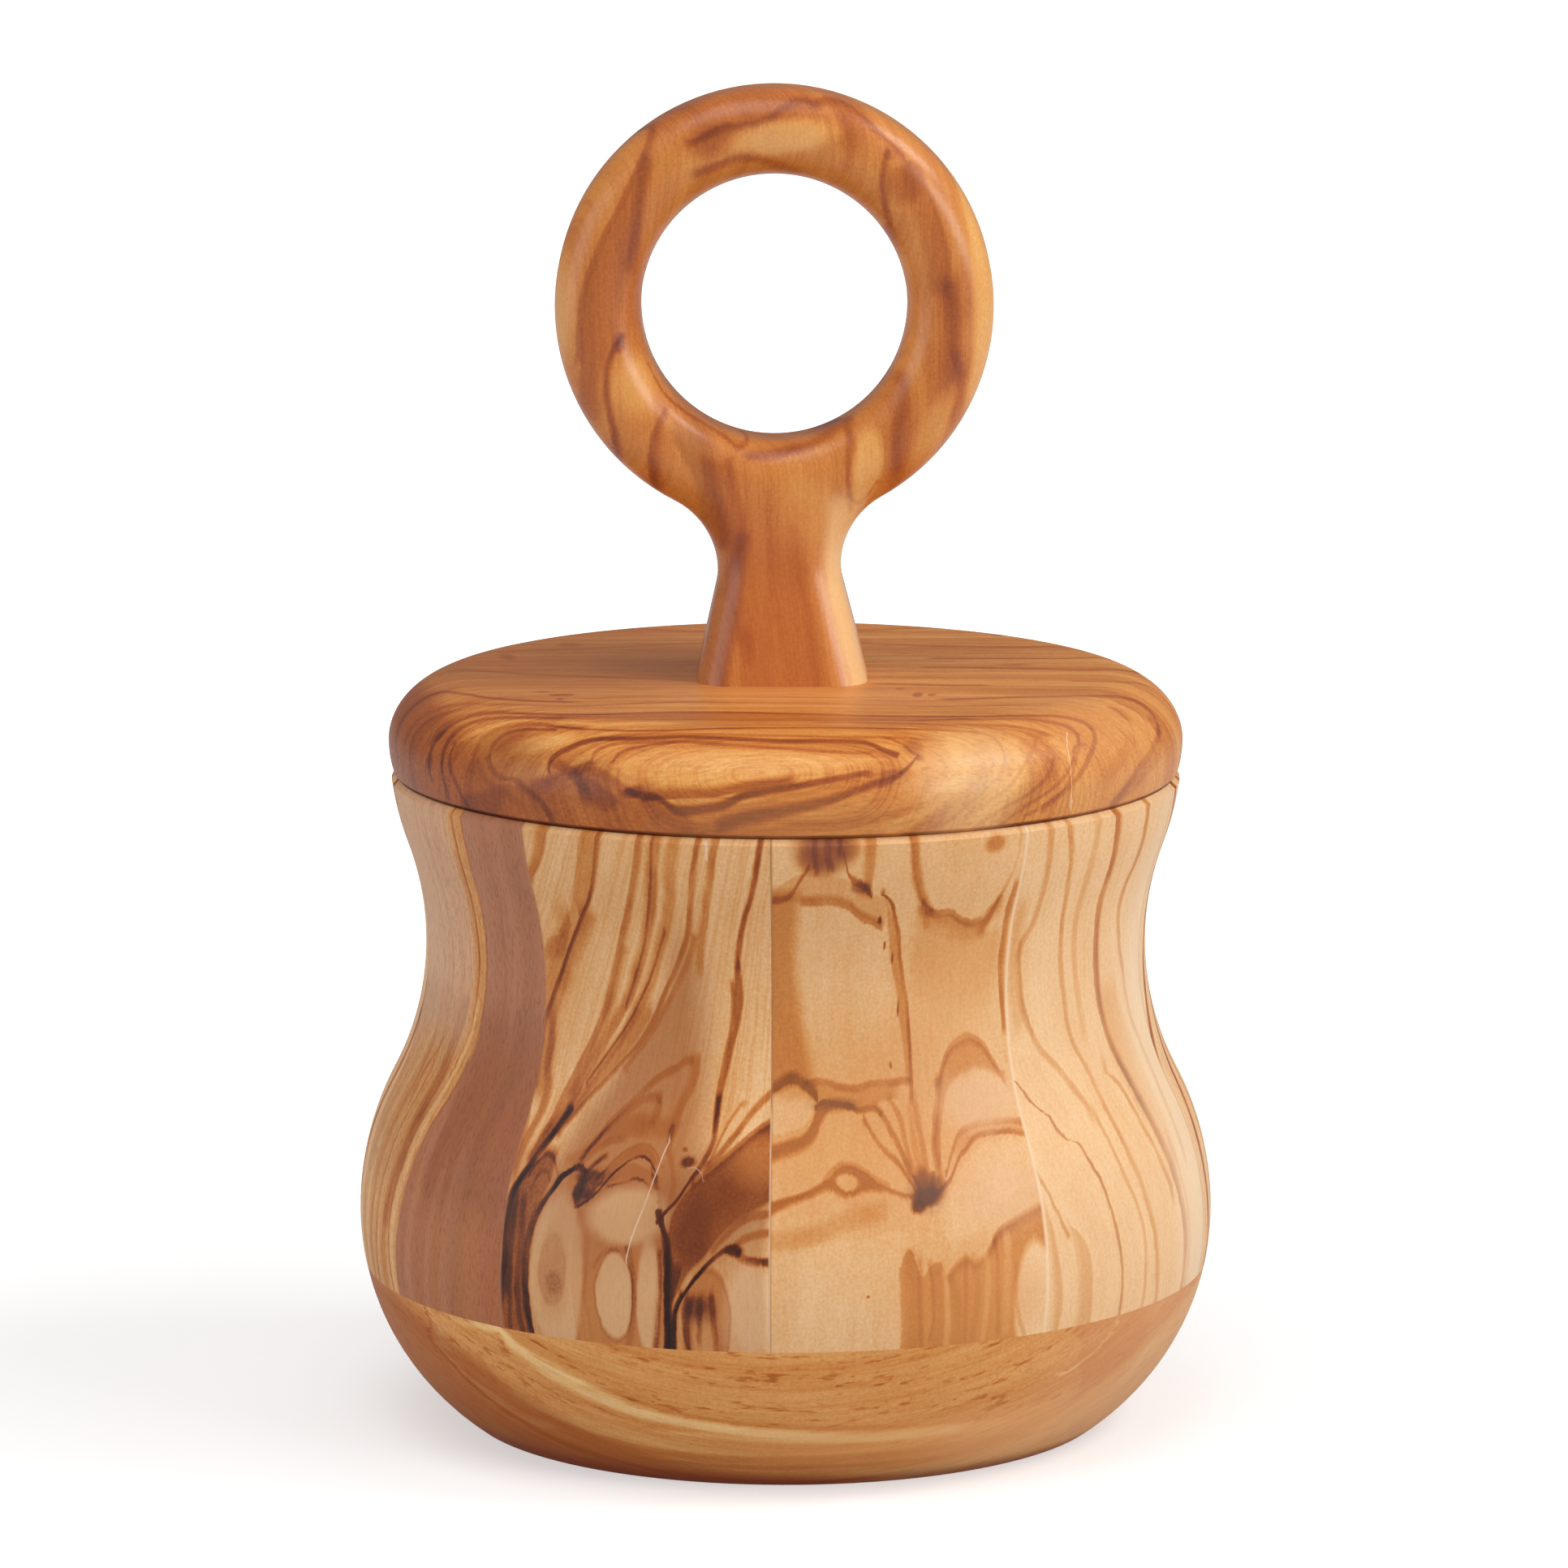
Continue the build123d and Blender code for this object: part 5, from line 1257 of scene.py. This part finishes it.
handleLook = {
    "fibre": 0.05,
    "streaks": 0.08,
    "edge": (1.35, 0.0),
    "strength": 0.64,                # how dark its marks are
    "slant": 0.3,                    # how far the figure shifts to the side, per mm of depth
    "rise": 0.1,                     # and how far up
    "rings": (0.36, 0.12),           # per mm to the side and of depth
    "ringSizes": (0.02, 0.02),
    "fibreSizes": (3.2, 3.2, 0.7),
    "patchSizes": (0.12, 0.12, 0.06),
    "front": 6.0,                    # depth at which it is drawn, in front of the middle
    "wanderU": (1.2, 0.35),
    "wanderV": (1.6, 0.6),
    "broad": 0.22,
    "fine": 0.05,
    "ground": 0.31,
    "flecks": 0.1,
    "marks": [
        # left side of the ring
        band(0.36, (0.5, 2.0), [(-14.9, 156), (-16.2, 152.7), (-17.4, 150.6), (-18.7, 148.1),
            (-20.1, 145.2), (-21.6, 142.3), (-23, 138.9), (-23.9, 136.4), (-24.4, 133), (-24.6, 128),
            (-24, 122), (-22, 117)], [(-14, 156), (-14.6, 152), (-15.2, 149), (-15.8, 145), (-16.6, 141),
            (-18, 137), (-18.6, 133), (-18.8, 130), (-20.8, 126), (-21.4, 122), (-20, 117)]),
        vein(0.42, (0.35, 0.6), [(-14.6, 156), (-16.2, 152.7), (-17.4, 150.6), (-18.7, 148.1),
            (-20.1, 145.2), (-21.6, 142.3), (-23, 138.9), (-23.9, 136.4), (-24.4, 133),
            (-24.6, 128)], fade=2),
        vein(0.4, (0.9, 1.1), [(-16.6, 151), (-17.2, 148), (-17.6, 145.4), (-18, 142),
            (-18.4, 139)], fade=2),
        vein(0.3, (1.2, 0.6), [(-15, 155.5), (-12, 157.3), (-8, 159.4)], True, 1.5),
        vein(0.62, (0.5, 0.7), [(-19.4, 130.4), (-20.8, 128.2), (-21.5, 125), (-21.4, 121.8),
            (-20.5, 118.9), (-19.1, 115.6)], fade=0.8),
        oval(0.5, (-19.7, 129.6), (0.8, 1.1), 1.0),
        # painted highlight on the lower left of the ring
        oval(-0.45, (-17.8, 124.6), (2.8, 3.4), 1.0),
        vein(0.44, (0.5, 0.8), [(-14.1, 121.8), (-15.3, 119.8), (-16, 116.8), (-15.3, 113.9),
            (-13.9, 111)], fade=0.8),
        vein(0.2, (0.4, 1.6), [(-15.6, 119), (-15.8, 116), (-15, 113)]),
        vein(0.46, (0.5, 0.5), [(-15.6, 127), (-14.1, 123.9), (-11.6, 121.7), (-8.7, 119.7), (-6.6, 118.3),
            (-5.3, 117.4), (-3.3, 118.9)], True, 0.6),
        # soft brown patches
        oval(0.36, (-5, 157), (10, 2.8), 1.3, None, 8),
        oval(0.2, (20.4, 135), (2.6, 3.6), 1.2),
        oval(0.3, (19.8, 125), (2.8, 4.4), 1.3),
        oval(0.3, (13.4, 117), (1.7, 7.0), 1.2),
        oval(0.26, (-17.6, 136), (1.6, 6.0), 1.2),
        oval(0.3, (7.6, 155.6), (2.2, 3.4), 1.2),
        # painted sheen on the ring's left outer edge
        oval(-0.3, (-27.2, 134), (1.8, 12), 1.0),
        oval(-0.4, (17.6, 120), (1.6, 4.6), 1.2, None, -30),
        oval(-0.4, (1.6, 110), (2.6, 5.0), 1.3),
        # neck and stem
        vein(0.34, (0.7, 1.6), [(-10, 115.6), (-9.8, 114), (-9.3, 112.3), (-8, 108.9),
            (-7.2, 106)], fade=1.5),
        vein(0.26, (1.3, 0.7), [(-6.6, 115.2), (-6, 111.8), (-5.3, 107.7), (-5.5, 103.5), (-5.9, 99.3),
            (-6, 95)], fade=2),
        band(0.2, (0.6, 0.8), [(-9.8, 115), (-9, 111), (-7.8, 107), (-7.2, 103)], [(-6, 115), (-5.6, 111),
            (-5, 107), (-5.2, 103)]),
        vein(0.42, (0.8, 1.2), [(-5.4, 106), (-6, 103.5), (-6.6, 99.4), (-7.4, 96), (-8.3, 92),
            (-8.9, 88)], fade=2),
        band(0.14, (1.4, 1.6), [(-6, 109), (-5.6, 100), (-6.8, 92), (-7.2, 88)], [(3.4, 109), (3.2, 100),
            (4.6, 92), (5.2, 88)], fade=5),
        vein(0.14, 0.7, [(0.8, 108), (1.4, 102), (2.4, 94), (2.6, 88)]),
        vein(0.12, 0.6, [(-2.4, 112), (-2.2, 103), (-2.8, 94)]),
        oval(0.3, (-5.4, 94), (0.8, 2.2), 1.2),
        # painted light: the pale right side of the stem, which faces the lamps
        band(-0.75, (1.6, 0.8), [(4.2, 109), (3.8, 104), (4.4, 98), (5.6, 92), (6.2, 88)], [(9, 109),
            (8, 104), (9, 98), (11, 92), (12, 88)], fade=3),
        # right side of the neck, with a pale eye
        vein(0.46, (0.5, 0.8), [(10.1, 124.2), (9.4, 122.6), (8, 121), (7.3, 118.1), (6.9, 115.2),
            (7.1, 112.3), (7.6, 109.8)], fade=0.6),
        oval(-0.6, (9.2, 114.6), (1.7, 4.6), 0.6, None, -8),
        vein(0.34, 0.5, [(7.4, 111.4), (8.4, 110.6), (9.4, 111.2), (10.4, 113)], True),
        vein(0.5, (0.8, 0.7), [(-4, 116.5), (0.1, 116.8), (4.7, 118.3), (7.6, 120.6), (10.1, 123.2),
            (12, 126.4)], True, 1.2),
        vein(0.34, (1.0, 0.8), [(13.9, 125), (13.4, 122), (12.8, 119), (13, 115)], fade=2),
        # right side of the ring
        vein(0.42, (1.6, 1.3), [(19, 136), (19.4, 132.7), (19.3, 129), (19.6, 126)], fade=2.5),
        vein(0.3, (0.6, 0.9), [(19.4, 128), (20.2, 124.6), (19.6, 121)], fade=2),
        band(0.28, (1.4, 0.35), [(12.6, 150), (13.4, 146), (14.8, 141), (16, 136)], [(15.5, 149.6),
            (17, 146), (17.9, 143.6), (18.7, 141), (18.7, 136)]),
        vein(0.24, (0.5, 0.3), [(15.6, 149.4), (17, 146), (17.9, 143.6), (18.7, 141), (18.7, 136)], fade=2),
        vein(0.5, (0.4, 0.6), [(11.5, 152), (10.9, 149.3), (11.1, 146.4), (12.2, 143.1),
            (13.2, 140)], fade=1),
        oval(0.36, (13.4, 148.2), (2.2, 2.2), 0.9),
        oval(0.3, (11.9, 151.6), (0.9, 0.6), 1.0),
        band(0.12, (1.5, 1.5), [(14.4, 136), (14.4, 126), (12, 120)], [(20.6, 136), (20.6, 126),
            (18, 118)], fade=4),
        # over the top
        vein(0.42, (0.9, 0.5), [(-11, 153.4), (-9.9, 154), (-7, 155.3), (-5.3, 155.3), (-2, 156.2),
            (-0.3, 157.4), (1.8, 158.1), (3.4, 157.8), (5.1, 158.1), (7.6, 157.5), (9.3, 156),
            (11.3, 153.9), (13, 152), (14, 150.6)], True, 1.5),
        oval(0.34, (-9, 153.4), (3.2, 1.6), 1.0, None, 16),
        vein(0.4, (0.9, 0.6), [(-10.4, 149.6), (-8, 150.6), (-5, 151.5), (-2, 151),
            (1.4, 149.8)], True, 1.5),
        oval(-0.5, (-0.6, 153.8), (6.0, 1.9), 0.7, None, 6),
        vein(0.22, (1.4, 0.8), [(7.2, 156), (7.1, 153), (7, 150)]),
        vein(0.24, 0.5, [(4.7, 155.6), (5, 152.4), (5.1, 150)]),
        # painted sheen on the ring's left outer edge
        band(-0.4, (0.6, 1.0), [(-28, 150), (-28, 138), (-28, 124)], [(-22.6, 150), (-25.6, 138),
            (-26.2, 130), (-25.6, 124)]),
        # painted light on the ring's right outer edge, which faces the lamps
        band(-0.6, (1.4, 0.6), [(20.2, 148), (20.8, 140), (21.4, 132), (20.6, 124)], [(28, 148), (28, 140),
            (28, 132), (28, 124)], fade=4),
    ],
    "tints": [
        tint(colour(184, 92, 36), 0.4, band(1, (2, 2), [(-7, 104), (-8, 88)], [(3, 104),
            (4.4, 88)], fade=6)),
        # painted light on the stem's right side
        tint(colour(244, 204, 150), 0.5, band(1, (2.4, 0.6), [(3.6, 110), (3.2, 104), (3.6, 98), (4.8, 92),
            (5.6, 88)], [(10, 110), (9, 104), (10, 98), (12, 92), (13, 88)], fade=3)),
        # painted shade on the stem's left side, away from the lamps
        tint(colour(132, 64, 30), 0.42, band(1, (1, 3), [(-14, 118), (-10.4, 110), (-9, 102), (-11, 92),
            (-12, 88)], [(-7, 118), (-6, 110), (-5, 102), (-6, 92), (-7, 88)], fade=4)),
        # the first oval is a painted sheen on the ring's left outer edge; the second lightens the pale field
        # at the top of the ring
        tint(colour(228, 178, 128), 0.3, oval(1, (-27.4, 134), (1.8, 12), 1.0),
            oval(1, (-0.6, 153.8), (5, 1.8), 1.0)),
    ],
}


def handleWood(look):
    made, (x, y, z) = newWood("handleWood")
    depth = y + look["front"]
    aside, up = x + depth * look["slant"], z + depth * look["rise"]
    streaks = stretched(x, y, z, look["fibreSizes"])
    figure = Figure(aside, up, 1.0, streaks, stretched(x, y, z, look["patchSizes"]), look)
    sideRings, depthRings = look["rings"]
    second, third = look["ringSizes"]
    figure.grow(figure.u * sideRings + depth * depthRings, y * second, z * third)
    return figure.paint(made, warmTones, richOil)


handleFinish = handleWood(handleLook)
for name in ("ring_handle", "handle_dowel"):
    nodes[name].material_slots[0].material = handleFinish
print("handle finished")


# Floor, light and camera.

studio = {
    "floorSize": 8.0,
    "floorColour": (0.6, 0.6, 0.6),
    "glowNear": 0.5,                 # what the camera sees of a white sweep, at the pot and away from it
    "glowFar": 1.0,
    "reach": (0.09, 0.42),           # metres from the middle over which the glow grows
    "mirrored": 0.2,                 # share of it that shows in the wood's gloss
    "sky": 0.38,                     # light from all round, and how bright it is in the wood's gloss
    "gloss": 0.2,
    "lamps": {                       # place, aim, size and power
        "keyPanel": ((0.9, -0.7, 0.47), (0, 0, 0.07), (0.5, 0.5), 5.2),
        "sidePanel": ((0.75, -0.1, 0.93), (0, 0, 0.1), (0.4, 0.4), 4.1),
        "fillPanel": ((-1.05, -0.45, 0.3), (0, 0, 0.07), (0.8, 0.8), 3.9),
        "topPanel": ((-0.15, -0.3, 1.0), (0, 0, 0.09), (0.6, 0.6), 3.0),
    },
}


cameraRay, glossyRay = 0, 3          # Light Path's outputs
pureWhite = (1, 1, 1, 1)


def makeFloor(look):
    bpy.ops.object.select_all(action="DESELECT")
    bpy.ops.mesh.primitive_plane_add(size=look["floorSize"], location=(0, 0, 0))
    floor = bpy.context.object
    floor.name = "floor"
    made = bpy.data.materials.new("floorPaper")
    made.use_nodes = True
    tree = made.node_tree
    tree.nodes.clear()
    start = Sock(tree, None)
    place = start.make("TexCoord", output=objectPlace)
    away = place.make("VectorMath", {"operation": "LENGTH"}, {0: place}, 1)
    grown = smooth(away, *look["reach"]) * (look["glowFar"] - look["glowNear"]) + look["glowNear"]
    camera = start.make("LightPath", output=cameraRay)
    glossy = start.make("LightPath", output=glossyRay) * look["mirrored"]
    paper = start.make("BsdfDiffuse", {}, {0: (*look["floorColour"], 1)})
    glow = start.make("Emission", {}, {0: pureWhite, 1: camera.maths("MAXIMUM", camera, glossy) * grown})
    sheet = start.make("AddShader", {}, {0: paper, 1: glow})
    out = tree.nodes.new("ShaderNodeOutputMaterial")
    tree.links.new(sheet.end, out.inputs[0])
    floor.data.materials.append(made)


def makeSky(look):
    world = bpy.data.worlds.new("softRoom")
    bpy.context.scene.world = world
    world.use_nodes = True
    tree = world.node_tree
    tree.nodes.clear()
    start = Sock(tree, None)
    camera = start.make("LightPath", output=cameraRay)
    glossy = start.make("LightPath", output=glossyRay)
    strength = look["sky"] - glossy * (look["sky"] - look["gloss"])
    soft = start.make("Background", {}, {0: pureWhite, 1: strength})
    white = start.make("Background", {}, {0: pureWhite, 1: 1.0})
    mixed = start.make("MixShader", {}, {0: camera, 1: soft, 2: white})
    out = tree.nodes.new("ShaderNodeOutputWorld")
    tree.links.new(mixed.end, out.inputs[0])


def addLamp(name, place, aim, size, power):
    lamp = bpy.data.lights.new(name, "AREA")
    lamp.shape = "RECTANGLE"
    lamp.size, lamp.size_y = size
    lamp.energy = power
    holder = bpy.data.objects.new(name, lamp)
    bpy.context.scene.collection.objects.link(holder)
    holder.location = place
    holder.rotation_euler = (Vector(aim) - Vector(place)).to_track_quat("-Z", "Y").to_euler()


makeFloor(studio)
makeSky(studio)
for name, lamp in studio["lamps"].items():
    addLamp(name, *lamp)

view = {
    "target": (-0.0002, 0, 0.0760),  # what the lens points at
    "standAt": (0, -1.0188, 0.2573),
    "lens": 199.5,
    "sensor": 36,
    "sees": (0.01, 20),              # nearest and farthest, in metres
}
camera = bpy.data.cameras.new("camera")
camera.lens = view["lens"]
camera.sensor_width = view["sensor"]
camera.clip_start, camera.clip_end = view["sees"]
tripod = bpy.data.objects.new("camera", camera)
bpy.context.scene.collection.objects.link(tripod)
tripod.location = view["standAt"]
tripod.rotation_euler = (Vector(view["target"]) - Vector(view["standAt"])).to_track_quat("-Z", "Y").to_euler()
bpy.context.scene.camera = tripod
bpy.context.scene.view_settings.view_transform = "Standard"
print("studio finished")
